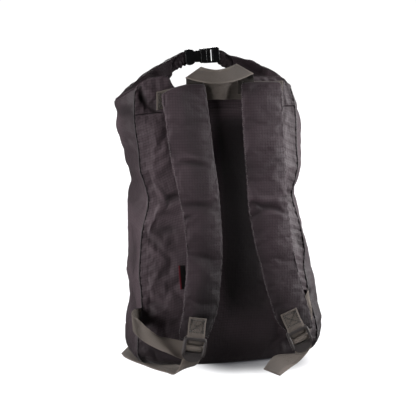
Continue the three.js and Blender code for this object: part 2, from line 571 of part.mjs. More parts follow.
// The buckle halves and the webbing ends that hold them to the roll
function addBuckle() {
  const buckle = new THREE.Group();
  buckle.position.set(BUCKLE.x, BUCKLE.y, BUCKLE.z);
  buckle.rotation.y = radians(BUCKLE.turn);
  bag.add(buckle);
  const side = (sign) => [
    [-BUCKLE.end, sign * 8], [-23, sign * 10.6], [-19, sign * 11.6], [-14.5, sign * 10.4],
    [-10.5, sign * 7.2], [-6.5, sign * 6.2], [-2.5, sign * 7.4], [0.5, sign * 10.2],
    [BUCKLE.mouth, sign * 10.6],
  ];
  const socketShape = shapeOf([...side(-1), ...side(1).reverse()]);
  const half = BUCKLE_CAVITY.halfHeight;
  const cavity = plate(
    shapeOf(rectangle(BUCKLE.mouth - BUCKLE_CAVITY.depth, -half, BUCKLE.mouth + 1, half)),
    2 * BUCKLE_CAVITY.halfThick,
  );
  addPiece("buckle_socket", cut(plate(socketShape, BUCKLE.thick), cavity), FINISH.plastic, buckle);

  const start = BUCKLE.mouth + GAP;
  const body = shapeOf([
    [start, -10.6], [22, -11.2], [BUCKLE.end, -9], [BUCKLE.end, 9], [22, 11.2], [start, 10.6],
  ]);
  body.holes.push(pathOf(rectangle(
    BUCKLE_SLOT.from, -BUCKLE_SLOT.halfHeight, BUCKLE_SLOT.to, BUCKLE_SLOT.halfHeight,
  ).reverse()));
  const prong = (sign) => shapeOf([
    [start + 1, sign * 5.6], [start + 1, sign * 8.3], [-1, sign * 8.3], [-5, sign * 8.4],
    [-9, sign * 8.3], [-12, sign * 7], [-12, sign * 5.4], [-8, sign * 6], [-4, sign * 6],
  ]);
  const tongue = shapeOf(rectangle(-12.5, -2.4, start + 1, 2.4));
  const plugParts = [
    plate(body, BUCKLE.thick - 1), plate(prong(1), PRONG_THICK), plate(prong(-1), PRONG_THICK),
    plate(tongue, PRONG_THICK),
  ];
  addPiece("buckle_plug", join(plugParts), FINISH.plastic, buckle);

  const tabs = [["left", 0, -1, BUCKLE_TAB.seatLeft], ["right", 1, 1, BUCKLE_TAB.seatRight]];
  for (const [name, s, sign, seat] of tabs) {
    const rollEnd = buckle.worldToLocal(ringAt(s).middle.clone());
    const from = sign * (BUCKLE.end + GAP);
    const to = rollEnd.x - sign * seat;
    const low = Math.min(from, to);
    const high = Math.max(from, to);
    const shape = shapeOf(rectangle(low, -BUCKLE_TAB.halfHeight, high, BUCKLE_TAB.halfHeight));
    addPiece(`buckle_tab_${name}`, plate(shape, BUCKLE_TAB.thick), FINISH.webbing, buckle);
  }
}

// Webbing sewn to the yoke: the flat band and the grab handle
function addYokeWebbing() {
  const rows = YOKE_BAND.map(({ x, z, off }) => {
    const left = between(BODY_SECTIONS, "z", "seamL", z);
    const right = between(BODY_SECTIONS, "z", "seamR", z);
    const u = (x - left) / (right - left);
    const clear = Math.min(bodyPoint(u, z - 12).y, bodyPoint(u, z).y, bodyPoint(u, z + 12).y);
    return edges({ at: [x, clear - GAP - WEBBING / 2 - off, z], across: [0, 0, 1] });
  });
  addPiece("yoke_band", webbing(rows, WEBBING, 2), FINISH.webbing);
  const handle = [HANDLE_BAND, HANDLE_END_LEFT, HANDLE_END_RIGHT].map((part) => webbing(part));
  addPiece("grab_handle", join(handle), FINISH.webbing);
}

// A padded strap through its table of sections
function strap(rows) {
  const frames = rows.map(({ z, left, right, face, thick }) => ({
    middle: new THREE.Vector3((left + right) / 2, face + thick / 2, z),
    a: new THREE.Vector3((right - left) / 2, 0, 0),
    b: new THREE.Vector3(0, -thick / 2, 0),
  }));
  return sweep(frames, oval(STRAP_SIDES, STRAP_SQUARENESS));
}

function addStraps() {
  addPiece("shoulder_strap_left", strap(STRAP_LEFT), FINISH.strap);
  addPiece("shoulder_strap_right", strap(STRAP_RIGHT), FINISH.strap);
  const column = (name, z) => between([...STRAP_LEFT].reverse(), "z", name, z);
  const rows = evenly(LABEL.low, LABEL.high, 2).map((z) => {
    const x = column("left", z) - GAP;
    const y = column("face", z) + column("thick", z) / 2;
    return { near: [x - LABEL.width, y, z], far: [x, y, z] };
  });
  addPiece("side_label", webbing(rows, LABEL.thick, 1), FINISH.label);
}

// Where a lock's own frame lies in the bag
function lockMatrix(lock) {
  const matrix = new THREE.Matrix4().makeRotationY(radians(lock.turn));
  return matrix.setPosition(lock.x, lock.y, lock.z);
}

// Webbing across a lock's width along a line of depth and height in the lock's frame
function lockWebbing(lock, line) {
  const matrix = lockMatrix(lock);
  const place = (x, [y, z]) => new THREE.Vector3(x, y, z).applyMatrix4(matrix).toArray();
  const half = WEBBING_WIDTH / 2;
  return line.map((point) => ({ near: place(-half, point), far: place(half, point) }));
}

// One lock with its tab, and the webbing that runs from the side seam through it to its free end
function addAdjuster(name, lock, run, tail) {
  const frame = new THREE.Shape();
  const shoulder = LOCK.lowerSlot[0] - 1.5;
  frame.moveTo(-LOCK.halfWidth, shoulder);
  frame.bezierCurveTo(-LOCK.halfWidth + 1, -12, -9, LOCK.lip, 0, LOCK.lip);
  frame.bezierCurveTo(9, LOCK.lip, LOCK.halfWidth - 1, -12, LOCK.halfWidth, shoulder);
  frame.lineTo(LOCK.halfWidth, LOCK.top - 2);
  frame.lineTo(LOCK.halfWidth - 2, LOCK.top);
  frame.lineTo(2 - LOCK.halfWidth, LOCK.top);
  frame.lineTo(-LOCK.halfWidth, LOCK.top - 2);
  for (const [low, high] of [LOCK.upperSlot, LOCK.lowerSlot]) {
    frame.holes.push(pathOf(rectangle(-SLOT_HALF_WIDTH, low, SLOT_HALF_WIDTH, high).reverse()));
  }
  const lockGroup = new THREE.Group();
  lockGroup.applyMatrix4(lockMatrix(lock));
  bag.add(lockGroup);
  addPiece(`ladder_lock_${name}`, plate(frame, LOCK.thick, 5), FINISH.lock, lockGroup);

  const aroundBar = LOCK.upperSlot[1] - GAP - WEBBING / 2;
  const tabLine = [
    [TAB_RISE, LOCK.top + TAB_LENGTH], [TAB_RISE - 1.2, LOCK.top + TAB_LENGTH / 2], [-1.6, LOCK.top + 3.5],
    [-TAB_OFF, LOCK.top - 2], [-TAB_OFF, LOCK.top - 4.5], [-TAB_OFF + 1, aroundBar + 0.1], [0, aroundBar],
    [TAB_OFF - 1, aroundBar + 0.1], [TAB_OFF, LOCK.top - 4.5], [TAB_OFF, LOCK.top + 1],
  ];
  addPiece(`strap_tab_${name}`, webbing(lockWebbing(lock, tabLine)), FINISH.webbing);

  const overBar = LOCK.thick / 2 + 1.7 * GAP + WEBBING / 2;
  const upper = LOCK.upperSlot[0] + GAP + WEBBING / 2;
  const lower = LOCK.lowerSlot[1] - GAP - WEBBING / 2;
  const weave = lockWebbing(lock, [
    [5.6, -9], [5.2, 0], [overBar + 0.4, upper - 1], [1, upper + 0.3], [-1, upper + 0.2],
    [-overBar, upper - 1.6], [-overBar, lower + 1.6], [-1, lower - 0.2], [1, lower - 0.3],
    [overBar, lower - 3], [overBar + 0.4, -10], [overBar + 0.8, LOCK.lip + 1],
  ]);
  const lead = weave.slice(-2);
  const fromSeam = webbing(run.map((row) => edges(row)));
  const freeEnd = webbing([...lead, ...tail]);
  addPiece(`adjuster_${name}`, join([fromSeam, webbing(weave, WEBBING, 2), freeEnd]), FINISH.webbing);
}

addBody();
addPiping();
addCollarAndRoll();
addBuckle();
addYokeWebbing();
addStraps();
addAdjuster("left", LOCK_LEFT, ADJUSTER_LEFT, TAIL_LEFT);
addAdjuster("right", LOCK_RIGHT, ADJUSTER_RIGHT, TAIL_RIGHT);

export default bag;
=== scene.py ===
"""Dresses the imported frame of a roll-top backpack in cloth, padded straps, webbing and mouldings.

Tables are in millimetres and finished meshes in metres, in the frame's own axes: +X to the right as
the straps are seen, -Y towards the wearer, +Z up from the floor.
"""

import logging
import math
from dataclasses import dataclass, field, replace
from enum import Enum
from typing import Callable, Optional, Sequence, Union

import bmesh
import bpy
import numpy as np
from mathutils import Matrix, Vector, noise
from mathutils.bvhtree import BVHTree


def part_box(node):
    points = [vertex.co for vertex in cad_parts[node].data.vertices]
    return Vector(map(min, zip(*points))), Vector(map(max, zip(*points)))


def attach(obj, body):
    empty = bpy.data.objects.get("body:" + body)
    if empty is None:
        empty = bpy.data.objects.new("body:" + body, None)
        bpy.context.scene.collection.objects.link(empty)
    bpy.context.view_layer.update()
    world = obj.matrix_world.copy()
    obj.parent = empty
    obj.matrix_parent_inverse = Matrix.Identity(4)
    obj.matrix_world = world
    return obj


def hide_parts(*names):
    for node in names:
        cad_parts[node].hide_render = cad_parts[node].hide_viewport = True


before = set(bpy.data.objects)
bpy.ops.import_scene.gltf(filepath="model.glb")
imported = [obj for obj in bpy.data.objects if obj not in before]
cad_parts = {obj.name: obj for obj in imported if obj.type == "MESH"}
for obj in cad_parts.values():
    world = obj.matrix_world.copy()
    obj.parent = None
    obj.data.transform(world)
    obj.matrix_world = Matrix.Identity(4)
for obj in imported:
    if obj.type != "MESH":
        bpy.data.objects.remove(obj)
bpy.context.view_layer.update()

LOG = logging.getLogger("backpack")
MM = 0.001
IMAGE_SIDE = 416
BODY = "root"
UV_NAME = "cloth"
# Name of the point attribute of fold height, less painted shade and plus painted light, that the
# finishes turn into tone
RELIEF = "relief"
TURN = 2 * math.pi
TINY = 1e-9
Array = np.ndarray
Mesh = bpy.types.Mesh
Material = bpy.types.Material
Object = bpy.types.Object
Pixel = tuple[float, float]
Span = tuple[float, float]
Place = tuple[float, float, float]
Colour = tuple[float, float, float]
EdgeRow = tuple[tuple[float, ...], tuple[float, ...]]


class Slot(str, Enum):
    """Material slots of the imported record."""

    SHELL = "shell_cloth"
    STRAP = "strap_cloth"
    WEBBING = "webbing"
    PIPING = "piping"
    BUCKLE = "buckle_plastic"
    LOCK = "lock_plastic"
    LABEL = "label_cloth"


class Side(Enum):
    """The wearer's side of a paired piece, as the straps are seen."""

    LEFT = "left"
    RIGHT = "right"


class FoldKind(Enum):
    """How a fold moves the cloth: into a hollow or out to a ridge."""

    VALLEY = -1
    RIDGE = 1


# Smooth tables and curves


@dataclass(frozen=True)
class Table:
    """Listed rows of values under named columns, read smoothly between the rows.

    The first column is the key, and its values rise from row to row.
    """

    columns: tuple[str, ...]
    rows: tuple[tuple[float, ...], ...]

    def column(self, name: str) -> Array:
        """All values of one column."""
        return np.array([row[self.columns.index(name)] for row in self.rows], float)

    def at(self, name: str, where: Union[float, Array]) -> Array:
        """Reads a column at given keys.

        Args:
            name: The column to read.
            where: Keys, one or many.

        Returns:
            The value at each key, on a smooth curve through the rows.
        """
        keys = self.column(self.columns[0])
        values = self.column(name)
        last = len(keys) - 1
        index = np.arange(last + 1)
        before = np.maximum(index - 1, 0)
        after = np.minimum(index + 1, last)
        slopes = (values[after] - values[before]) / (keys[after] - keys[before])
        key = np.clip(where, keys[0], keys[-1])
        i = np.clip(np.searchsorted(keys, key) - 1, 0, last - 1)
        span = keys[i + 1] - keys[i]
        t = (key - keys[i]) / span
        lift = span * t * (1 - t) * ((1 - t) * slopes[i] - t * slopes[i + 1])
        return values[i] + (values[i + 1] - values[i]) * t * t * (3 - 2 * t) + lift


def smoothstep(value: Array, low: float, high: float) -> Array:
    """A smooth rise from 0 at low to 1 at high."""
    t = np.clip((value - low) / (high - low), 0, 1)
    return t * t * (3 - 2 * t)


def lerp(first: Array, second: Array, share: Array) -> Array:
    """A straight mix of two values."""
    return first + (second - first) * share


def unit(vectors: Array) -> Array:
    """Vectors scaled to length one along the last axis."""
    return vectors / np.maximum(np.linalg.norm(vectors, axis=-1, keepdims=True), TINY)


def smooth_route(points: Sequence[Sequence[float]], count: int) -> Array:
    """Draws a curve through points, as the frame's webbing is drawn.

    Args:
        points: Points to pass through.
        count: How many points to return.

    Returns:
        Points evenly spread over the spans between the given points.
    """
    given = np.array(points, float)
    padded = np.vstack([2 * given[0] - given[1], given, 2 * given[-1] - given[-2]])
    spans = len(given) - 1
    route = []
    for share in np.linspace(0, spans, count):
        i = min(int(share), spans - 1)
        t = share - i
        p0, p1, p2, p3 = padded[i:i + 4]
        d0, d1, d2 = (max(np.linalg.norm(b - a) ** 0.5, 1e-3) for a, b in ((p0, p1), (p1, p2), (p2, p3)))
        m1 = d1 * ((p1 - p0) / d0 - (p2 - p0) / (d0 + d1) + (p2 - p1) / d1)
        m2 = d1 * ((p2 - p1) / d1 - (p3 - p1) / (d1 + d2) + (p3 - p2) / d2)
        a = 2 * p1 - 2 * p2 + m1 + m2
        b = 3 * p2 - 3 * p1 - 2 * m1 - m2
        route.append(p1 + t * (m1 + t * (b + t * a)))
    return np.array(route)


def edge_dense(count: int, pull: float = 0.6) -> Array:
    """Shares from 0 to 1 that lie closer together near both ends."""
    t = np.linspace(0, 1, count + 1)
    return t - pull * np.sin(TURN * t) / TURN


def to_end(share: Array) -> Array:
    """How far each share from 0 to 1 is from the nearer end."""
    return np.minimum(share, 1 - share)


def run_along(route: Array) -> Array:
    """The distance along a route at each of its points."""
    steps = np.linalg.norm(np.diff(route, axis=0), axis=-1)
    return np.concatenate([[0], np.cumsum(steps)])


# Scene objects


def new_object(name: str, data: bpy.types.ID) -> Object:
    """Makes an object of a mesh, light or camera, and puts it into the scene."""
    made = bpy.data.objects.new(name, data)
    bpy.context.scene.collection.objects.link(made)
    return made


# Shader building


def math_node(operation: str, swapped: bool = False) -> Callable[["Sock", "Value"], "Sock"]:
    """Makes a socket's method that adds one Math node.

    Args:
        operation: The Math node's operation.
        swapped: Whether the other value comes first.

    Returns:
        The method, which takes the other value.
    """

    def add_node(self: "Sock", other: "Value") -> "Sock":
        """Adds the node."""
        first, second = (other, self) if swapped else (self, other)
        return self.paint.node("ShaderNodeMath", {"operation": operation}, {0: first, 1: second})

    return add_node


class Sock:
    """A node socket on which Python arithmetic adds Math nodes."""

    __add__ = __radd__ = math_node("ADD")
    __sub__ = math_node("SUBTRACT")
    __rsub__ = math_node("SUBTRACT", swapped=True)
    __mul__ = __rmul__ = math_node("MULTIPLY")
    __truediv__ = math_node("DIVIDE")
    most = math_node("MAXIMUM")

    def __init__(self, paint: "Paint", socket: bpy.types.NodeSocket) -> None:
        """Wraps a socket of a material that is being painted."""
        self.paint = paint
        self.socket = socket

    def wave(self, length: float) -> "Sock":
        """A sine wave of that length along this coordinate."""
        return (self * (TURN / length)).one("SINE")

    def one(self, operation: str) -> "Sock":
        """A Math node of one input, such as FRACT, ABSOLUTE or SINE."""
        return math_node(operation)(self, 0.0)


Value = Union[Sock, float, tuple]
Tone = Union[Sock, Colour]


def scaled(colour: Colour, factor: float) -> Colour:
    """A colour made darker or lighter."""
    return tuple(factor * value for value in colour)


class Paint:
    """One material's node tree in the making."""

    def __init__(self, name: str) -> None:
        """Starts an empty node material of that name."""
        self.material = bpy.data.materials.new(name)
        self.material.use_nodes = True
        self.tree = self.material.node_tree
        self.tree.nodes.clear()

    def node(self, kind: str, settings: Optional[dict] = None, inputs: Optional[dict] = None,
             output: Union[int, str] = 0) -> Sock:
        """Adds a node.

        Args:
            kind: The node's type name.
            settings: Properties to set first.
            inputs: Values or links by socket name or number.
            output: The output to return.

        Returns:
            The wrapped output socket.
        """
        made = self.tree.nodes.new(kind)
        for key, value in (settings or {}).items():
            setattr(made, key, value)
        for key, value in (inputs or {}).items():
            if isinstance(value, Sock):
                self.tree.links.new(value.socket, made.inputs[key])
            elif isinstance(value, tuple) and len(value) == 3 and made.inputs[key].type == "RGBA":
                made.inputs[key].default_value = (*value, 1.0)
            else:
                made.inputs[key].default_value = value
        return Sock(self, made.outputs[output])

    def place(self) -> Sock:
        """Object coordinates."""
        return self.node("ShaderNodeTexCoord", output="Object")

    def uv(self) -> tuple[Sock, Sock]:
        """The piece's own cloth coordinates, in metres across and along."""
        both = self.node("ShaderNodeUVMap", {"uv_map": UV_NAME})
        return self.axis(both, "X"), self.axis(both, "Y")

    def axis(self, vector: Sock, name: str) -> Sock:
        """One coordinate of a vector."""
        return self.node("ShaderNodeSeparateXYZ", inputs={"Vector": vector}, output=name)

    def relief(self) -> Sock:
        """How far the modelled folds stand out, about -1 to 1, less painted shade and plus painted
        light.
        """
        return self.node("ShaderNodeAttribute", {"attribute_name": RELIEF}, output="Fac")

    def noise(self, scale: float, detail: float = 2.0, roughness: float = 0.5) -> Sock:
        """Noise from 0 to 1 in object space, with a feature size of 1 over scale metres."""
        given = {"Vector": self.place(), "Scale": scale, "Detail": detail, "Roughness": roughness}
        return self.node("ShaderNodeTexNoise", inputs=given)

    def ramp(self, value: Value, low: float, high: float) -> Sock:
        """A smooth rise from 0 at low to 1 at high."""
        given = {"Value": value, "From Min": low, "From Max": high}
        return self.node("ShaderNodeMapRange", {"interpolation_type": "SMOOTHSTEP"}, given)

    def line(self, along: Sock, pitch: float, share: float) -> Sock:
        """Thin lines across a coordinate: 1 on each line, 0 between them."""
        middle = ((along / pitch).one("FRACT") - 0.5).one("ABSOLUTE")
        return self.ramp(middle, 0.5 - share, 0.5 - 0.35 * share)

    def blend(self, share: Value, first: Tone, second: Tone) -> Sock:
        """A mix of two colours, by the numbers of the Mix node's colour sockets."""
        return self.node("ShaderNodeMix", {"data_type": "RGBA"}, {0: share, 6: first, 7: second}, 2)

    def bump(self, height: Sock, distance: float, strength: float = 1.0,
             normal: Optional[Sock] = None) -> Sock:
        """A bumped normal.

        Args:
            height: Height of the surface, in units of the distance.
            distance: Size of one unit of height, in metres.
            strength: Share of the effect.
            normal: A normal to build on.

        Returns:
            The new normal.
        """
        given = {"Height": height, "Distance": distance, "Strength": strength}
        if normal is not None:
            given["Normal"] = normal
        return self.node("ShaderNodeBump", inputs=given)

    def close(self, colour: Tone, roughness: Value, normal: Optional[Sock] = None,
              **fixed: float) -> Material:
        """Ends the material in a Principled shader.

        Args:
            colour: Base colour.
            roughness: Roughness.
            normal: Bumped normal.
            fixed: Constants by socket name, with _ for a space.

        Returns:
            The finished material.
        """
        given: dict = {"Base Color": colour, "Roughness": roughness}
        if normal is not None:
            given["Normal"] = normal
        for key, value in fixed.items():
            given[key.replace("_", " ")] = value
        shader = self.node("ShaderNodeBsdfPrincipled", inputs=given)
        self.node_out(shader)
        return self.material

    def node_out(self, shader: Sock) -> None:
        """Links a shader to the material's output."""
        made = self.tree.nodes.new("ShaderNodeOutputMaterial")
        self.tree.links.new(shader.socket, made.inputs["Surface"])


# Finishes


@dataclass(frozen=True)
class RipstopFinish:
    """Coated cloth with a square grid of thicker threads."""

    name: str
    colour: Colour
    grid: float
    line_depth: float = 0.3
    posts: float = 0.35
    roughness: float = 0.62
    sheen: float = 0.05
    gloss: float = 0.16
    foot_shade: float = 0.12
    line_share: float = 0.13
    post_share: float = 0.11
    threads: int = 5
    mottle_scale: float = 26.0
    blotch_scale: float = 7.0
    # Spans of the relief attribute for the painted highlight on ridges and the painted shade in hollows,
    # deep hollows and the deepest hollows
    ridge_light_span: Span = (-0.1, 1.1)
    valley_shade_span: Span = (0.1, -1.0)
    deep_shade_span: Span = (-0.9, -2.0)
    black_shade_span: Span = (-2.2, -3.2)
    dark_share: float = 0.12
    pale_share: float = 1.7
    crumple_scale: float = 160.0
    crumple_height: float = 1.2 * MM
    thread_height: float = 0.14 * MM

    def material(self) -> Material:
        """Paints the grid, weave and mottling, a painted highlight on ridges and painted shade in
        hollows.
        """
        paint = Paint(self.name)
        across, along = paint.uv()
        lines = paint.line(along, self.grid, self.line_share)
        posts = paint.line(across, self.grid, self.post_share)
        grid = lines.most(posts * self.posts)
        thread = self.grid / self.threads
        weave = across.wave(thread) * along.wave(thread)
        mottle = paint.noise(self.mottle_scale, 4.0, 0.6)
        blotch = paint.noise(self.blotch_scale)
        relief = paint.relief()
        # Painted highlight on fold ridges and painted shade in the hollows, read from the relief
        # attribute
        ridge = paint.ramp(relief, *self.ridge_light_span)
        valley_shade = paint.ramp(relief, *self.valley_shade_span)
        deep = paint.ramp(relief, *self.deep_shade_span)
        black = paint.ramp(relief, *self.black_shade_span)
        # Painted shade that deepens towards the floor
        foot = paint.ramp(paint.axis(paint.place(), "Z"), self.foot_shade, 0.0)
        tone = 0.5 + 0.3 * mottle + 0.16 * blotch + 0.2 * ridge
        for shade, depth in ((valley_shade, 0.5), (deep, 0.62), (foot, 0.8), (black, 0.85)):
            tone = tone * (1.0 - depth * shade)
        tone = tone * (1.0 - self.line_depth * grid * (0.6 + 0.8 * mottle))
        dark = scaled(self.colour, self.dark_share)
        pale = scaled(self.colour, self.pale_share)
        colour = paint.blend(tone * 0.62, dark, pale)
        crumple = paint.noise(self.crumple_scale, 3.0, 0.65)
        normal = paint.bump(crumple, self.crumple_height, 0.5)
        normal = paint.bump(grid + 0.12 * weave, self.thread_height, 0.8, normal)
        rough = self.roughness + 0.16 * (mottle - 0.5) - 0.08 * grid
        return paint.close(colour, rough, normal, Sheen_Weight=self.sheen, Sheen_Roughness=0.45,
                           Specular_IOR_Level=self.gloss)


@dataclass(frozen=True)
class WebbingFinish:
    """Flat woven webbing with ribs across it and thicker edges."""

    name: str
    colour: Colour
    width: float
    rib: float = 1.25 * MM
    rib_height: float = 0.22 * MM
    selvedge_and_highlight: Span = (0.43, 0.47)

    def material(self) -> Material:
        """Paints the weave: slanting threads, ribs and the two edge lines, with a painted highlight on
        the edges.
        """
        paint = Paint(self.name)
        across, along = paint.uv()
        slant = (across * 0.9 + along).wave(self.rib)
        ribs = across.wave(1.6 * self.rib)
        edge = (across / self.width - 0.5).one("ABSOLUTE")
        # Painted highlight along both edges, which also shapes the edge bump
        selvedge_and_highlight = paint.ramp(edge, *self.selvedge_and_highlight)
        wear = paint.noise(60.0, 4.0, 0.6)
        cloud = paint.noise(14.0)
        tone = 0.62 + 0.34 * wear + 0.18 * cloud + 0.1 * slant + 0.06 * ribs + 0.34 * selvedge_and_highlight
        # Painted shade where the relief attribute is below 0, and painted light where it is above
        tone = tone * (1.0 + paint.relief())
        colour = paint.blend(tone * 0.6, scaled(self.colour, 0.2), scaled(self.colour, 1.65))
        normal = paint.bump(0.6 * slant + 0.5 * ribs - selvedge_and_highlight, self.rib_height, 0.9)
        return paint.close(colour, 0.72 + 0.12 * wear, normal, Sheen_Weight=0.04, Sheen_Roughness=0.5,
                           Specular_IOR_Level=0.12)


@dataclass(frozen=True)
class PlasticFinish:
    """Moulded plastic with a faint spark texture."""

    name: str
    colour: Colour
    roughness: float
    gloss: float = 0.25
    grain: float = 900.0
    grain_height: float = 0.06 * MM

    def material(self) -> Material:
        """Paints the plastic with fine grain and handling marks."""
        paint = Paint(self.name)
        grain = paint.noise(self.grain)
        marks = paint.noise(70.0, 5.0, 0.7)
        colour = paint.blend(marks, scaled(self.colour, 0.75), scaled(self.colour, 1.3))
        rough = self.roughness + 0.2 * (marks - 0.5)
        normal = paint.bump(grain, self.grain_height, 0.6)
        return paint.close(colour, rough, normal, Specular_IOR_Level=self.gloss)


@dataclass(frozen=True)
class ThreadFinish:
    """Twisted sewing thread or a bound cord."""

    name: str
    colour: Colour
    twist: float = 1.4 * MM
    twist_height: float = 0.12 * MM

    def material(self) -> Material:
        """Paints the thread with slanting twist lines."""
        paint = Paint(self.name)
        fuzz = paint.noise(500.0, 3.0)
        place = paint.place()
        twist = (paint.axis(place, "X") + paint.axis(place, "Z")).wave(self.twist)
        tone = 0.5 * fuzz + 0.2 * twist + 0.2
        colour = paint.blend(tone, scaled(self.colour, 0.6), scaled(self.colour, 1.4))
        normal = paint.bump(twist, self.twist_height, 0.7)
        return paint.close(colour, 0.7 + 0.2 * fuzz, normal, Sheen_Weight=0.1)


@dataclass(frozen=True)
class LabelFinish:
    """A bare folded tape label with one coloured edge."""

    name: str
    colour: Colour
    stripe: Colour
    width: float
    stripe_edge: Span = (0.24, 0.2)
    thread: float = 0.9 * MM
    thread_height: float = 0.12 * MM

    def material(self) -> Material:
        """Paints the tape, its weave and its coloured outer edge."""
        paint = Paint(self.name)
        across, along = paint.uv()
        band = paint.ramp(across / self.width, *self.stripe_edge)
        tone = paint.noise(240.0, 3.0)
        base = paint.blend(tone, scaled(self.colour, 0.7), scaled(self.colour, 1.5))
        colour = paint.blend(band, base, self.stripe)
        normal = paint.bump(along.wave(self.thread), self.thread_height, 0.7)
        return paint.close(colour, 0.55 + 0.15 * tone, normal, Specular_IOR_Level=0.1)


@dataclass(frozen=True)
class FloorFinish:
    """A plain pale studio floor that glows white, with a painted contact shadow in front of the bag."""

    name: str = "studio_floor"
    colour: Colour = (0.2, 0.2, 0.205)
    # The painted contact shadow: its darkest colour, the clear floor's colour, the middle and half size
    # of its box, its reach and its squeeze at the sides
    dark: Colour = (0.025, 0.025, 0.03)
    bright: Colour = (0.99, 0.99, 1.0)
    middle: Span = (0.036, -0.002)
    half: Span = (0.03, 0.064)
    shade_reach: float = 0.075
    side_pull: float = 1.1

    def material(self) -> Material:
        """Paints the floor white, with a soft shade in front of the bag's foot."""
        paint = Paint(self.name)
        place = paint.place()
        gaps = []
        for axis, middle, half in zip("XY", self.middle, self.half):
            beyond = (paint.axis(place, axis) - middle).one("ABSOLUTE") - half
            gaps.append(beyond.most(0.0))
        aside = gaps[0] * self.side_pull
        away = (aside * aside + gaps[1] * gaps[1]).one("SQRT")
        clear = paint.ramp(away, 0.0, self.shade_reach)
        glow_and_shadow = paint.blend(clear * clear, self.dark, self.bright)
        return paint.close(self.colour, 0.85, Emission_Color=glow_and_shadow, Emission_Strength=1.0,
                           Specular_IOR_Level=0.0)


# The photograph's camera


@dataclass(frozen=True)
class PhotoView:
    """The camera that took the photograph, and the rays through its pixels."""

    azimuth: float = -14.0
    elevation: float = 11.0
    distance: float = 1.9
    lens: float = 113.4
    sensor: float = 36.0
    target: Place = (-0.01205, 0.0, 0.21259)

    def back(self) -> Vector:
        """The direction from the target to the camera."""
        a = math.radians(self.azimuth)
        e = math.radians(self.elevation)
        return Vector((math.sin(a) * math.cos(e), -math.cos(a) * math.cos(e), math.sin(e)))

    def place(self) -> Vector:
        """Where the camera stands."""
        return Vector(self.target) + self.back() * self.distance

    def camera(self) -> None:
        """Makes the scene's camera."""
        data = bpy.data.cameras.new("photo_camera")
        data.lens = self.lens
        data.sensor_width = self.sensor
        made = new_object("photo_camera", data)
        made.location = self.place()
        made.rotation_mode = "QUATERNION"
        made.rotation_quaternion = (-self.back()).to_track_quat("-Z", "Y")
        bpy.context.scene.camera = made

    def ray(self, pixel: Pixel) -> Vector:
        """The direction through a pixel of the photograph."""
        turn = (-self.back()).to_track_quat("-Z", "Y")
        scale = self.sensor / self.lens / IMAGE_SIDE
        half = IMAGE_SIDE / 2
        ahead = Vector(((pixel[0] - half) * scale, (half - pixel[1]) * scale, -1.0))
        return (turn @ ahead).normalized()


@dataclass
class FrameSurface:
    """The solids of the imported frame, as something that rays can hit."""

    view: PhotoView
    trees: dict[str, BVHTree] = field(default_factory=dict)

    def tree(self, node: str) -> BVHTree:
        """The search tree of one CAD node."""
        if node not in self.trees:
            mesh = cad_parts[node].data
            corners = [vertex.co for vertex in mesh.vertices]
            faces = [list(face.vertices) for face in mesh.polygons]
            self.trees[node] = BVHTree.FromPolygons(corners, faces)
        return self.trees[node]

    def seen(self, node: str, pixel: Pixel) -> Array:
        """Where a pixel's ray meets a node, or comes nearest to it.

        Args:
            node: The CAD node that carries the point.
            pixel: Pixel of the photograph.

        Returns:
            The point, in millimetres.
        """
        start = self.view.place()
        along = self.view.ray(pixel)
        hit = self.tree(node).ray_cast(start, along)[0]
        if hit is None:
            hit = self.tree(node).find_nearest(start + along * self.view.distance)[0]
        return np.array(hit) / MM


# Folds


@dataclass(frozen=True)
class Fold:
    """One fold of cloth along a line that the photograph shows.

    Attributes:
        node: The CAD node on which the line lies.
        line: Pixels of the photograph that the fold runs through.
        reach: Half width of the fold, in millimetres.
        depth: How far the cloth moves, in millimetres.
        kind: Hollow or ridge.
    """

    node: str
    line: tuple[Pixel, ...]
    reach: float
    depth: float
    kind: FoldKind = FoldKind.VALLEY


@dataclass
class Creases:
    """Presses folds and a fine crumple into cloth."""

    surface: FrameSurface
    seed: float = 4.0
    detail: int = 6

    def lift(self, folds: Sequence[Fold], node: str, points: Array) -> Array:
        """How far the folds on one node move each point along its normal.

        Args:
            folds: Folds on any nodes.
            node: The CAD node that the cloth stands for.
            points: Points in millimetres, with the coordinates on the last axis.

        Returns:
            The movement of each point, in millimetres.
        """
        total = np.zeros(points.shape[:-1])
        for fold in folds:
            if fold.node == node:
                stops = [self.surface.seen(node, pixel) for pixel in fold.line]
                total += self._one(fold, smooth_route(stops, self.detail * len(stops)), points)
        return total

    @staticmethod
    def _one(fold: Fold, route: Array, points: Array) -> Array:
        """The movement that one fold gives to each point, fading towards the fold's ends."""
        nearest = np.full(points.shape[:-1], np.inf)
        share = np.zeros_like(nearest)
        count = len(route) - 1
        for i in range(count):
            step = route[i + 1] - route[i]
            offset = points - route[i]
            t = np.clip(offset @ step / max(step @ step, TINY), 0, 1)
            distance = np.linalg.norm(offset - t[..., None] * step, axis=-1)
            closer = distance < nearest
            nearest = np.where(closer, distance, nearest)
            share = np.where(closer, (i + t) / count, share)
        fade = np.sqrt(np.sin(math.pi * np.clip(share, 0.02, 0.98)))
        return fold.kind.value * fold.depth * fade * np.exp(-(nearest / fold.reach) ** 2)

    def crumple(self, points: Array, size: float, height: float) -> Array:
        """A soft unevenness of cloth.

        Args:
            points: Points in millimetres.
            size: Width of a lump, in millimetres.
            height: Height of a lump, in millimetres.

        Returns:
            The movement of each point, in millimetres.
        """
        flat = points.reshape(-1, 3) / size
        values = [noise.noise(Vector((p[0] + self.seed, p[1], p[2]))) for p in flat]
        return height * np.array(values).reshape(points.shape[:-1])


# Mesh making


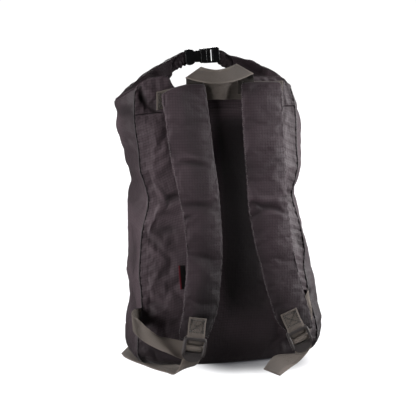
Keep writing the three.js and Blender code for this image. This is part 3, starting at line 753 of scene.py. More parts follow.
@dataclass
class Sheet:
    """A grid of cloth points: rows upwards and columns to the right as seen from outside."""

    points: Array
    closed: bool = False

    def normals(self) -> Array:
        """Outward unit normals of the grid's points."""
        if self.closed:
            along = np.roll(self.points, -1, axis=1) - np.roll(self.points, 1, axis=1)
        else:
            along = np.gradient(self.points, axis=1)
        up = np.gradient(self.points, axis=0)
        return unit(np.cross(along, up))

    def uv(self) -> Array:
        """Distances along the rows and up the columns, in metres."""
        across = np.linalg.norm(np.diff(self.points, axis=1), axis=-1)
        along = np.linalg.norm(np.diff(self.points, axis=0), axis=-1)
        across = np.pad(np.cumsum(across, axis=1), ((0, 0), (1, 0)))
        along = np.pad(np.cumsum(along, axis=0), ((1, 0), (0, 0)))
        return np.stack([across, along], axis=-1) * MM

    def mesh(self, name: str, uv: Array, relief: Optional[Array] = None,
             caps: bool = False) -> Mesh:
        """Makes a mesh of the grid.

        Args:
            name: The mesh's name.
            uv: Cloth coordinates of each grid point.
            relief: Height of the folds at each point, about -1 to 1, less painted shade and plus painted
                light.
            caps: Whether the first and last row are closed with faces.

        Returns:
            The new mesh, in metres.
        """
        rows, columns = self.points.shape[:2]
        spans = columns if self.closed else columns - 1
        index = np.arange(rows * columns).reshape(rows, columns)
        after = np.roll(index, -1, axis=1)
        around = np.stack([index[:-1], after[:-1], after[1:], index[1:]], axis=-1)
        faces = around[:, :spans].reshape(-1, 4).tolist()
        if caps:
            faces += [index[0, ::-1].tolist(), index[-1].tolist()]
        mesh = bpy.data.meshes.new(name)
        mesh.from_pydata((self.points.reshape(-1, 3) * MM).tolist(), [], faces)
        layer = mesh.uv_layers.new(name=UV_NAME)
        flat = uv.reshape(-1, 2)
        seam = np.linalg.norm(self.points[:, 0] - self.points[:, -1], axis=-1) * MM
        for face in mesh.polygons:
            wraps = self.closed and len(face.vertices) == 4 and face.index % spans == columns - 1
            for loop in face.loop_indices:
                vertex = mesh.loops[loop].vertex_index
                value = flat[vertex].copy()
                if wraps and vertex % columns == 0:
                    row = vertex // columns
                    value[0] = uv[row, -1, 0] + seam[row]
                layer.data[loop].uv = value
        heights = mesh.attributes.new(RELIEF, "FLOAT", "POINT")
        if relief is not None:
            heights.data.foreach_set("value", relief.reshape(-1).astype(np.float32))
        mesh.shade_smooth()
        mesh.update()
        return mesh


def tube(name: str, route: Array, radius: float, sides: int) -> Mesh:
    """Makes a round cord along a route.

    Args:
        name: The mesh's name.
        route: Points of the middle line, in millimetres.
        radius: The cord's radius, in millimetres.
        sides: Number of faces round the cord.

    Returns:
        The new mesh, closed at both ends.
    """
    along = unit(np.gradient(route, axis=0))
    first = unit(np.cross(along, np.array([0.0, -1.0, 0.003])))
    second = np.cross(along, first)
    angle = np.linspace(0, TURN, sides, endpoint=False)[None, :, None]
    points = route[:, None] + radius * (first[:, None] * np.cos(angle) + second[:, None] * np.sin(angle))
    sheet = Sheet(points, closed=True)
    return sheet.mesh(name, sheet.uv(), caps=True)


def join_meshes(name: str, meshes: Sequence[Mesh]) -> Mesh:
    """Joins meshes into one, with their cloth coordinates and relief.

    Args:
        name: The joined mesh's name.
        meshes: Meshes to join, which are removed.

    Returns:
        The joined mesh.
    """
    whole = bmesh.new()
    for mesh in meshes:
        whole.from_mesh(mesh)
    joined = bpy.data.meshes.new(name)
    whole.to_mesh(joined)
    whole.free()
    for mesh in meshes:
        bpy.data.meshes.remove(mesh)
    joined.shade_smooth()
    return joined


@dataclass
class Workshop:
    """Turns meshes into finished pieces that ride on the bag."""

    made: list[str] = field(default_factory=list)

    def piece(self, name: str, mesh: Mesh, material: Material, slot: Slot,
              *nodes: str) -> Object:
        """Makes one piece.

        Args:
            name: The piece's name.
            mesh: Its mesh, in the frame's place.
            material: Its finish.
            slot: The record's slot of the piece; not used.
            nodes: CAD nodes that it stands for.

        Returns:
            The new object.
        """
        mesh.materials.clear()
        mesh.materials.append(material)
        made = new_object(name, mesh)
        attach(made, BODY)
        if nodes:
            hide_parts(*nodes)
        self.made.append(name)
        LOG.info("%s: %d faces, stands for %s", name, len(mesh.polygons), ", ".join(nodes) or "nothing")
        return made

    @staticmethod
    def thicken(made: Object, thickness: float, levels: int = 1) -> None:
        """Gives a sheet an inner face and smooths it."""
        wall = made.modifiers.new("wall", "SOLIDIFY")
        wall.thickness = thickness * MM
        wall.offset = -1.0
        Workshop.smooth(made, levels)

    @staticmethod
    def smooth(made: Object, levels: int = 1) -> None:
        """Adds a subdivision surface with equal levels."""
        finer = made.modifiers.new("smooth", "SUBSURF")
        finer.levels = levels
        finer.render_levels = levels


@dataclass(frozen=True)
class ClothSettle:
    """Lets sewn cloth swell and crease by simulation, and keeps the result in the mesh.

    Attributes:
        pressure: Push of the filling behind the cloth.
        growth: Share by which the cloth is longer than the form that it was cut on.
        cap: The most that a point may move, in millimetres.
        frames: Steps of the simulation.
        bending: How stiffly the cloth bends.
        mass: Mass of a vertex, in kilograms.
        stretch: Stiffness along the threads.
        shear: Stiffness across them.
    """

    pressure: float
    growth: float
    cap: float
    frames: int = 16
    bending: float = 0.4
    mass: float = 0.12
    stretch: float = 18.0
    shear: float = 6.0

    def settle(self, mesh: Mesh, held: Array) -> None:
        """Args:
            mesh: The cloth, which is changed.
            held: How firmly each vertex is held, from 0 to 1.
        """
        made = new_object("settling_cloth", mesh.copy())
        group = made.vertex_groups.new(name="held")
        for index in np.nonzero(held > 0)[0]:
            group.add([int(index)], float(held[index]), "REPLACE")
        cloth = made.modifiers.new("cloth", "CLOTH")
        given = cloth.settings
        given.quality = 6
        given.mass = self.mass
        given.tension_stiffness = self.stretch
        given.compression_stiffness = self.stretch
        given.shear_stiffness = self.shear
        given.bending_stiffness = self.bending
        given.use_pressure = True
        given.uniform_pressure_force = self.pressure
        given.effector_weights.gravity = 0
        given.shrink_min = -self.growth
        given.vertex_group_mass = group.name
        cloth.collision_settings.use_collision = False
        cloth.point_cache.frame_start = 1
        cloth.point_cache.frame_end = self.frames
        for step in range(1, self.frames + 1):
            bpy.context.scene.frame_set(step)
        graph = bpy.context.evaluated_depsgraph_get()
        settled = made.evaluated_get(graph).data
        after = np.empty(3 * len(mesh.vertices), np.float32)
        before = np.empty_like(after)
        settled.vertices.foreach_get("co", after)
        mesh.vertices.foreach_get("co", before)
        move = (after - before).reshape(-1, 3)
        size = np.linalg.norm(move, axis=-1, keepdims=True)
        limit = self.cap * MM
        move *= limit * np.tanh(size / limit) / np.maximum(size, TINY)
        mesh.vertices.foreach_set("co", (before.reshape(-1, 3) + move).reshape(-1))
        mesh.update()
        LOG.info("%s settled: up to %.1f mm, mean %.2f mm", mesh.name, size.max() / MM, size.mean() / MM)
        spare = made.data
        bpy.data.objects.remove(made)
        bpy.data.meshes.remove(spare)
        bpy.context.scene.frame_set(1)


# The form of the bag


@dataclass(frozen=True)
class BagForm:
    """The bag's outer form, as the frame was built, in millimetres.

    The seam coordinate u runs round the bag: 0 to 1 over the back, then over the right side, the front
    and the left side.
    """

    back_crown: float = 6.0
    front_crown: float = 14.0
    front_taper: float = 18.0
    base_round: tuple[float, ...] = (5.0, 17.0, 17.0, 26.0)
    corner_reach: tuple[float, ...] = (0.2, 0.3, 0.2, 0.3)
    corner_round: float = 28.0
    fold_fade: float = 0.2
    collar_foot: float = 4.8
    sections: Table = Table(
        ("z", "seam_left", "seam_right", "swell_left", "swell_right", "back", "front"),
        (
            (0, -131, 133, 11, 18, -70, 62), (16, -132, 134, 11.5, 22, -70, 64),
            (45, -131, 134, 12, 28, -69, 66), (80, -125, 125, 11, 29.5, -66.5, 67),
            (109, -125, 119.5, 11, 30, -65, 68), (134, -127, 115, 12, 28, -63.5, 68),
            (160, -125.5, 116, 11, 19.5, -62, 68), (195, -122, 109, 14, 16, -60, 67),
            (237, -112, 98, 25, 23, -56.5, 64), (262, -117, 103, 18, 22, -56.5, 63),
            (281, -123, 106, 16.5, 20.5, -56, 62), (310, -125, 104, 20, 23.5, -54.5, 59),
            (340, -129, 103.5, 24, 23.5, -53, 55), (365, -130, 101.5, 27, 17, -52, 51),
            (385, -128.5, 97, 28, 13, -51, 47), (412, -126, 92, 25, 9, -50, 43),
        ),
    )
    dents: Table = Table(
        ("wall", "u", "z", "reach_u", "reach_z", "depth"),
        (
            (0, 0.09, 371, 0.06, 14, 2), (0, 0.15, 216, 0.09, 10, 4), (0, 0.07, 96, 0.06, 12, 1.5),
            (0, 0.93, 236, 0.06, 12, 0.5), (1, 0.3, 238, 0.5, 12, 1), (2, 0.5, 238, 0.4, 12, 5),
            (3, 0.5, 258, 0.5, 9, 1.5), (3, 0.6, 352, 0.3, 12, 5),
        ),
    )
    top: Table = Table(
        ("u", "z"),
        (
            (0, 388), (0.05, 397), (0.1, 402), (0.165, 404), (0.195, 402), (0.225, 391), (0.26, 386),
            (0.32, 386), (0.5, 394), (0.62, 400), (0.75, 401), (0.87, 400), (0.94, 398), (1, 386),
            (1.5, 378), (2, 374), (2.5, 366), (3, 368), (3.5, 366), (3.8, 376), (4, 388),
        ),
    )
    yoke: Table = Table(("u", "z"), ((0, 357), (0.15, 360), (0.45, 365), (1, 364)))

    def point(self, u: Array, height: Array, tuck: float = 0.0) -> Array:
        """Points of the body's outer face.

        Args:
            u: Seam coordinates.
            height: Heights above the floor.
            tuck: How far the points lie inside the face.

        Returns:
            Points, with x, y and z on the last axis.
        """
        u, z = np.broadcast_arrays(np.asarray(u, float), np.maximum(height, 0.0))
        wall = np.floor(u).astype(int) % 4
        t = u - np.floor(u)
        reach = np.array(self.corner_reach)[wall]
        corner = np.minimum(np.exp(-((t / reach) ** 2)) + np.exp(-(((1 - t) / reach) ** 2)), 1)
        bend = lerp(np.array(self.base_round)[wall], self.corner_round, corner)
        under = np.maximum(bend - z, 0)
        inset = tuck + bend - np.sqrt(bend ** 2 - under ** 2)
        arch = 4 * t * (1 - t)
        dent = self.dent(wall, t, z)
        read = {name: self.sections.at(name, z) for name in self.sections.columns[1:]}
        left = read["seam_left"] + inset
        right = read["seam_right"] - inset
        back = read["back"] + inset
        front = read["front"] - inset
        front_left = left + self.front_taper
        front_right = right - self.front_taper
        walls = [wall == 0, wall == 1, wall == 2]
        x = np.select(walls, [
            lerp(left, right, t), lerp(right, front_right, t) + read["swell_right"] * arch - dent,
            lerp(front_right, front_left, t),
        ], lerp(front_left, left, t) - read["swell_left"] * arch + dent)
        y = np.select(walls, [
            back - self.back_crown * arch + dent, lerp(back, front, t),
            front + self.front_crown * arch - dent,
        ], lerp(front, back, t))
        return np.stack([x, y, z], axis=-1)

    def dent(self, wall: Array, t: Array, z: Array) -> Array:
        """How deep the frame's own dents press each place inwards."""
        total = np.zeros(t.shape)
        off_seam = np.minimum(4 * t * (1 - t) / self.fold_fade, 1)
        for on, u, level, reach_u, reach_z, depth in self.dents.rows:
            away = ((t - u) / reach_u) ** 2 + ((z - level) / reach_z) ** 2
            total += np.where(wall == on, off_seam * depth * np.exp(-away), 0)
        return total

    def above_top(self, u: Array, distance: float) -> Array:
        """Heights that clear the sloping top edge by a distance."""
        step = 0.01
        level = self.top.at("z", u)
        after = (u + step) % 4
        before = (u - step) % 4
        run = np.linalg.norm(self.point(after, level) - self.point(before, level), axis=-1)
        climb = self.top.at("z", after) - self.top.at("z", before)
        return level + distance * np.hypot(1, climb / run)


@dataclass(frozen=True)
class NeckForm:
    """The gathered neck and the ring that the rolled mouth is bent into, in millimetres."""

    bag: BagForm = BagForm()
    ring: Place = (-17.5, 14.0, 391.0)
    half_width: float = 62.0
    half_height: float = 40.0
    open_angle: float = 31.0
    roll_radial: float = 10.0
    roll_thick: float = 5.5
    lip_grip: float = 0.3
    cloth: float = 1.5
    fold_radial: float = 7.4
    fold_over: float = 0.6
    central_share: float = 0.35
    lip_radial: float = -8.4
    fold_share: float = 0.025
    blend_share: float = 0.09
    side_share: float = 0.19
    rise_left: float = 5.0
    rise_right: float = 24.0
    rise_middle: float = 7.0
    reach_left: float = 22.0
    reach_right: float = 42.0
    reach_middle: float = 8.0

    def ring_at(self, s: Array) -> tuple[Array, Array]:
        """The ring's middle line and the direction straight out of it, at shares along it."""
        angle = np.radians(lerp(90 + self.open_angle, 450 - self.open_angle, np.asarray(s, float)))
        cos, sin, none = np.cos(angle), np.sin(angle), np.zeros_like(angle)
        across = np.stack([self.half_width * cos, none, self.half_height * sin], axis=-1)
        outward = unit(np.stack([self.half_height * cos, none, self.half_width * sin], axis=-1))
        return np.array(self.ring) + across, outward

    def share(self, u: Array) -> Array:
        """Where along the mouth each seam coordinate ends."""
        half = self.side_share
        across = 1 - 2 * half
        return np.select(
            [u >= 3.5, u <= 1, u <= 1.5, u <= 2, u <= 3],
            [(u - 3.5) * 2 * half, half + u * across, 1 - half + (u - 1) * 2 * half,
             1 - (u - 1.5) * 2 * half, 1 - half - (u - 2) * across],
            half - (u - 3) * 2 * half,
        )

    def point(self, u: Array, v: Array) -> Array:
        """Points of the neck's outer face.

        Args:
            u: Seam coordinates.
            v: Shares of the way from the body to the roll, and from 1 to 2 over the roll.

        Returns:
            Points, with x, y and z on the last axis.
        """
        u, v = np.broadcast_arrays(np.asarray(u, float) % 4, v)
        s = self.share(u)
        side = np.where((u >= 3.5) | (u <= 1.5), -1.0, 1.0)
        to_fold = to_end(s)
        shut = 1 - np.minimum(to_fold / self.fold_share, 1)
        over = np.clip(v - 1, 0, 1) * math.pi / 2
        v = np.minimum(v, 1)
        half_gap = (self.roll_thick - self.lip_grip + self.cloth) * np.sqrt(1 - shut ** 2) * np.cos(over)
        middle, outward = self.ring_at(s)
        inward = smoothstep(to_fold, self.fold_share, self.blend_share)
        out = lerp(self.fold_radial, self.lip_radial, inward)
        wrap = self.roll_radial + self.cloth
        out = lerp(out, lerp(self.fold_radial + self.fold_over, -wrap, inward), np.sin(over))
        lip = middle + outward * out[..., None]
        lip[..., 1] += side * half_gap
        foot = self.bag.point(u, self.bag.above_top(u, self.bag.collar_foot))
        central = smoothstep(to_fold, 0, self.central_share)
        lean = np.stack([0.15 * np.sign(self.ring[0] - foot[..., 0]), -0.35 * side * central,
                         np.ones_like(u)], axis=-1)
        away = np.stack([np.sign(s - 0.5) * (1 - central), side * central,
                         -0.15 + 0.4 * central], axis=-1)
        rise = np.where(s < 0.5, self.rise_left, self.rise_right)
        reach = np.where(s < 0.5, self.reach_left, self.reach_right)
        first = foot + unit(lean) * lerp(rise, self.rise_middle, central)[..., None]
        second = lip + unit(away) * lerp(reach, self.reach_middle, central)[..., None]
        v = v[..., None]
        w = 1 - v
        return w ** 3 * foot + 3 * w * w * v * first + 3 * w * v * v * second + v ** 3 * lip


# Pieces


@dataclass
class ShellCloth:
    """The sewn cloth of the body and neck."""

    shop: Workshop
    creases: Creases
    bag: BagForm = BagForm()
    neck: NeckForm = NeckForm()
    thickness: float = 1.3
    seam_tuck: float = 0.65
    seam_reach: float = 3.0
    rim_cover: float = 0.9
    short: float = 1e-7
    puff: float = 5.0
    side_puff: float = 1.0
    yoke_puff: float = 0.3
    puff_reach: float = 17.0
    hump: float = 5.0
    hump_at: float = 27.0
    hump_reach: float = 15.0
    hump_foot: Span = (90.0, 140.0)
    hump_top: Span = (406.0, 380.0)
    calm: float = 0.85
    calm_at: float = 0.52
    calm_reach: float = 0.17
    hold_rate: float = 20.0
    least_held: float = 0.15
    pucker: float = 0.4
    pucker_pitch: float = 13.0
    pucker_drift: Span = (2.2, 29.0)
    pucker_reach: Span = (2.0, 10.0)
    crumples: tuple[Span, ...] = ((46.0, 1.5), (17.0, 0.6))
    relief_unit: float = 2.5
    back: Array = field(default_factory=lambda: edge_dense(70))
    side: Array = field(default_factory=lambda: edge_dense(36))
    front: Array = field(default_factory=lambda: edge_dense(56))
    neck_side: Array = field(default_factory=lambda: edge_dense(64, 0.2))
    wall_rows: int = 92
    wall_pull: float = 1.15
    yoke_rows: int = 18
    base_rows: int = 14
    base_hole: float = 0.04
    neck_rows: tuple[int, int] = (34, 9)
    neck_held: tuple[float, float, float] = (12.0, 0.8, 5.0)
    settle: ClothSettle = ClothSettle(1.2, 0.025, 4.0)
    finish: RipstopFinish = RipstopFinish("shell_ripstop", (0.0555, 0.0394, 0.0458), 3.8 * MM, 0.5, 0.85)
    neck_gloss: float = 0.05
    neck_sheen: float = 0.02
    shoulder: Span = (325.0, 376.0)
    shoulder_shade: float = 0.9
    hollow: float = 0.63
    hollow_reach: float = 0.14
    hollow_shade: float = 3.0
    hollow_foot: Span = (40.0, 120.0)
    hollow_top: Span = (362.0, 335.0)
    right_shade: float = 1.5
    right_span: Span = (190.0, 115.0)
    neck_shade: float = 1.2
    neck_fade: float = 0.26
    flap_at: float = 1.14
    flap_reach: float = 0.27
    flap_light: float = 1.5
    flap_span: Span = (0.72, 0.5)
    folds: tuple[Fold, ...] = (
        Fold("back_yoke", ((141.5, 88), (142.5, 97), (146.6, 105), (152.5, 110), (161, 114.5)),
             3.8, 4.6),
        Fold("back_yoke", ((150, 101), (156, 107), (163, 112)), 7, 2.5),
        Fold("back_yoke", ((148, 88), (152, 93), (157, 97)), 6, 2, FoldKind.RIDGE),
        Fold("back_panel", ((152, 112), (157, 115), (163, 119)), 4, 3),
        Fold("side_panel_left", ((133, 148), (135, 176), (137, 204)), 20, 6),
        Fold("side_panel_left", ((125, 104), (128, 124), (133, 150)), 20, 4),
        Fold("side_panel_left", ((134, 224), (133, 250), (134, 280)), 16, 2.5),
        Fold("side_panel_left", ((131, 292), (133, 304), (135, 316)), 15, 3.5),
        Fold("back_panel", ((157, 187), (161, 193), (165, 200)), 4, 2.4, FoldKind.RIDGE),
        Fold("back_panel", ((165, 201), (172, 198), (182, 196)), 6, 4.5),
        Fold("back_panel", ((164, 202), (156, 213), (147, 226)), 6, 1.8, FoldKind.RIDGE),
        Fold("back_panel", ((146, 221), (160, 219), (178, 222)), 4, 2.2, FoldKind.RIDGE),
        Fold("back_panel", ((150, 228), (162, 231), (176, 228)), 6, 3),
        Fold("back_panel", ((144, 232), (152, 240), (160, 250)), 6, 1.6),
        Fold("back_panel", ((148, 246), (156, 252), (166, 258)), 5, 2.0, FoldKind.RIDGE),
        Fold("back_panel", ((146, 307), (154, 304), (166, 307)), 5, 2.6),
        Fold("back_panel", ((148, 318), (158, 315), (172, 318)), 5, 1.8, FoldKind.RIDGE),
        Fold("back_panel", ((139, 352), (144, 357), (150, 362)), 3.5, 2.2),
        Fold("back_panel", ((142, 345), (152, 350), (160, 360)), 4, 1.8),
        Fold("back_panel", ((289, 220), (296, 236), (304, 250)), 7, 1.2),
        Fold("side_panel_right", ((308, 288), (312, 294), (316, 298)), 4, 4),
        Fold("side_panel_right", ((312, 318), (318, 326), (322, 340)), 5, 3),
        Fold("collar", ((125, 107), (135, 90), (150, 80), (166, 74)), 6, 5),
        Fold("collar", ((118, 90), (134, 76), (156, 66), (176, 58)), 8, 3, FoldKind.RIDGE),
        Fold("collar", ((132, 84), (150, 73), (168, 66)), 5, 3),
        Fold("collar", ((169, 61), (175, 66), (180, 72)), 2.6, 2.2),
        Fold("collar", ((175, 58), (180, 63), (184, 69)), 2.4, 2.2),
        Fold("collar", ((181, 55), (184, 60), (186, 66)), 2.2, 2.0),
        Fold("collar", ((262, 70), (270, 77), (280, 82)), 5, 5),
        Fold("collar", ((232, 62), (250, 66), (268, 73)), 6, 3),
        Fold("collar", ((226, 54), (250, 62), (276, 76)), 7, 2.5, FoldKind.RIDGE),
    )
    # Lines that change only the tone of the cloth: painted shade darkens the hollows and a painted
    # highlight lightens the ridges
    shadows: tuple[Fold, ...] = (
        Fold("back_yoke", ((142, 91), (143.2, 98.5), (146.8, 105), (152.5, 110), (161, 114.5)),
             2.8, 1.8),
        Fold("side_panel_left", ((134, 172), (136.5, 187), (135.5, 204)), 6, 0.8),
        Fold("collar", ((262, 70), (270, 77), (280, 82)), 2.6, 1.6),
        Fold("back_panel", ((157, 143), (157, 163), (158, 182)), 12, 1.1, FoldKind.RIDGE),
        Fold("back_panel", ((153, 204), (154, 218), (153, 233)), 9, 0.9, FoldKind.RIDGE),
    )

    def build(self) -> None:
        """Makes every cloth of the shell."""
        material = self.finish.material()
        floor_up = np.linspace(0, 1, self.wall_rows) ** self.wall_pull
        yoke = self.bag.yoke.at("z", self.back)
        self._wall("back_panel", self.back, floor_up, np.zeros_like(yoke), yoke, material)
        yoke_up = np.linspace(0, 1, self.yoke_rows)
        self._wall("back_yoke", self.back, yoke_up, yoke, self._rim(self.back), material)
        for name, first, shares in (("side_panel_right", 1, self.side), ("front_panel", 2, self.front),
                                    ("side_panel_left", 3, self.side)):
            us = np.minimum(first + shares, first + 1 - self.short)
            self._wall(name, us, floor_up, np.zeros_like(us), self._rim(us), material)
        self._base(material)
        self._neck(self.neck_finish().material())

    def _rim(self, us: Array) -> Array:
        """Heights of the walls' upper edge, just over the foot of the neck."""
        return self.bag.above_top(us, self.bag.collar_foot + self.rim_cover)

    def _around(self, side: Array) -> Array:
        """Seam coordinates once round the bag, with the given shares on both sides."""
        return np.concatenate([self.back[:-1], 1 + side[:-1], 2 + self.front[:-1], 3 + side[:-1]])

    def neck_finish(self) -> RipstopFinish:
        """The duller finish of the neck and the roll."""
        return replace(self.finish, name="neck_ripstop", sheen=self.neck_sheen, gloss=self.neck_gloss)

    def _wall(self, name: str, us: Array, shares: Array, low: Array, high: Array,
              material: Material) -> None:
        """Makes one wall between two edges."""
        us = np.clip(us, math.floor(us[0]), math.floor(us[0]) + 1 - self.short)
        heights = low[None, :] + (high - low)[None, :] * shares[:, None]
        sheet = Sheet(self.bag.point(us[None, :], heights))
        uv = sheet.uv()
        ends = np.minimum(to_end(shares)[:, None] * self.hold_rate, 1)
        held = 1 - ends * np.minimum(np.minimum(us - us[0], us[-1] - us)[None] * self.hold_rate, 1)
        if name.startswith("back"):
            calm = np.exp(-((us - self.calm_at) / self.calm_reach) ** 4)[None]
            held = np.maximum(held, self.calm * calm)
        puff = {"back_yoke": self.yoke_puff, "back_panel": self.puff}.get(name, self.side_puff)
        shade = np.zeros(heights.shape)
        if name == "back_panel":
            between = np.exp(-((us - self.hollow) / self.hollow_reach) ** 4)[None]
            tall = smoothstep(heights, *self.hollow_foot) * smoothstep(heights, *self.hollow_top)
            shade = self.hollow_shade * between * tall
        elif name != "back_yoke":
            shade = self.shoulder_shade * smoothstep(heights, *self.shoulder)
        if name == "side_panel_right":
            shade = shade + self.right_shade * smoothstep(heights, *self.right_span)
        edges = self._edges(sheet, puff)
        if name.startswith("back"):
            gap = (uv[:, -1:, 0] - uv[..., 0]) / MM
            tall = smoothstep(heights, *self.hump_foot) * smoothstep(heights, *self.hump_top)
            edges += self.hump * np.exp(-((gap - self.hump_at) / self.hump_reach) ** 2) * tall
        self._finish(name, sheet, uv, material, edges, held, shade)

    def _edges(self, sheet: Sheet, puff: float) -> Array:
        """The pull of the sewn edges at each point of a wall that puffs out between them."""
        across = sheet.uv()[..., 0] / MM
        along = sheet.uv()[..., 1] / MM
        sides = ((across, along), (across[:, -1:] - across, along))
        ends = ((along, across), (along[-1:] - along, across))
        total = np.zeros(across.shape)
        for distance, _ in sides:
            total -= puff * np.exp(-(distance / self.puff_reach) ** 2)
        total = np.maximum(total, -puff) + puff
        for distance, _ in ends:
            total *= 1 - np.exp(-(distance / self.puff_reach) ** 2)
        for distance, _ in sides:
            total -= self.seam_tuck * np.exp(-(distance / self.seam_reach) ** 2)
        drift, length = self.pucker_drift
        near, far = self.pucker_reach
        for distance, run in sides + ends:
            wave = np.sin(run * TURN / self.pucker_pitch + drift * np.sin(run / length))
            total += self.pucker * wave * np.exp(-distance / far) * (1 - np.exp(-distance / near))
        return total

    def _finish(self, name: str, sheet: Sheet, uv: Array, material: Material,
                edges: Array, held: Array, shade: Array) -> None:
        """Presses the folds into a sheet, lets it settle and makes its piece."""
        normals = sheet.normals()
        lift = self.creases.lift(self.folds, name, sheet.points)
        shade = shade - self.creases.lift(self.shadows, name, sheet.points)
        for size, height in self.crumples:
            lift += self.creases.crumple(sheet.points, size, height) * (1 - held)
        sheet.points = sheet.points + normals * (lift + edges)[..., None]
        sheet.points[..., 2] = np.maximum(sheet.points[..., 2], 0)
        mesh = sheet.mesh(name + "_cloth", uv, np.clip(lift / self.relief_unit, -1, 1) - shade)
        firm = lerp(self.least_held, 1.0, held)
        self.settle.settle(mesh, np.broadcast_to(firm, lift.shape).reshape(-1))
        made = self.shop.piece(name + "_cloth", mesh, material, Slot.SHELL, name)
        self.shop.thicken(made, self.thickness)

    def _base(self, material: Material) -> None:
        """Makes the cloth under the bag, flat on the floor."""
        outline = self.bag.point(self._around(self.side), 0.0)
        centre = outline.mean(axis=0)
        shares = np.linspace(self.base_hole, 1, self.base_rows)
        points = centre + (outline[None] - centre) * shares[:, None, None]
        sheet = Sheet(points, closed=True)
        flat = points[..., :2] * MM
        mesh = sheet.mesh("base_panel_cloth", flat, np.zeros(points.shape[:2]))
        shape = bmesh.new()
        shape.from_mesh(mesh)
        hole = [edge for edge in shape.edges if edge.is_boundary and edge.calc_length() < 2 * MM]
        bmesh.ops.holes_fill(shape, edges=hole)
        shape.to_mesh(mesh)
        shape.free()
        made = self.shop.piece("base_panel_cloth", mesh, material, Slot.SHELL, "base_panel")
        self.shop.thicken(made, self.thickness, 0)

    def _neck(self, material: Material) -> None:
        """Makes the gathered neck between body and roll."""
        us = self._around(self.neck_side)
        upward, over = self.neck_rows
        rows = np.concatenate([np.linspace(0, 1, upward), 1 + np.linspace(0, 1, over)[1:]])
        sheet = Sheet(self.neck.point(us[None, :], rows[:, None]), closed=True)
        uv = sheet.uv()
        foot_rate, lip_start, lip_rate = self.neck_held
        held = np.clip(np.maximum(1 - rows * foot_rate, (rows - lip_start) * lip_rate), 0, 1)[:, None]
        shade = self.shoulder_shade + self.neck_shade * smoothstep(rows, 0, self.neck_fade)[:, None]
        flap = np.exp(-((us - self.flap_at) / self.flap_reach) ** 4)[None]
        shade = shade - self.flap_light * flap * smoothstep(rows, *self.flap_span)[:, None]
        self._finish("collar", sheet, uv, material, np.zeros(uv.shape[:2]), held, shade)


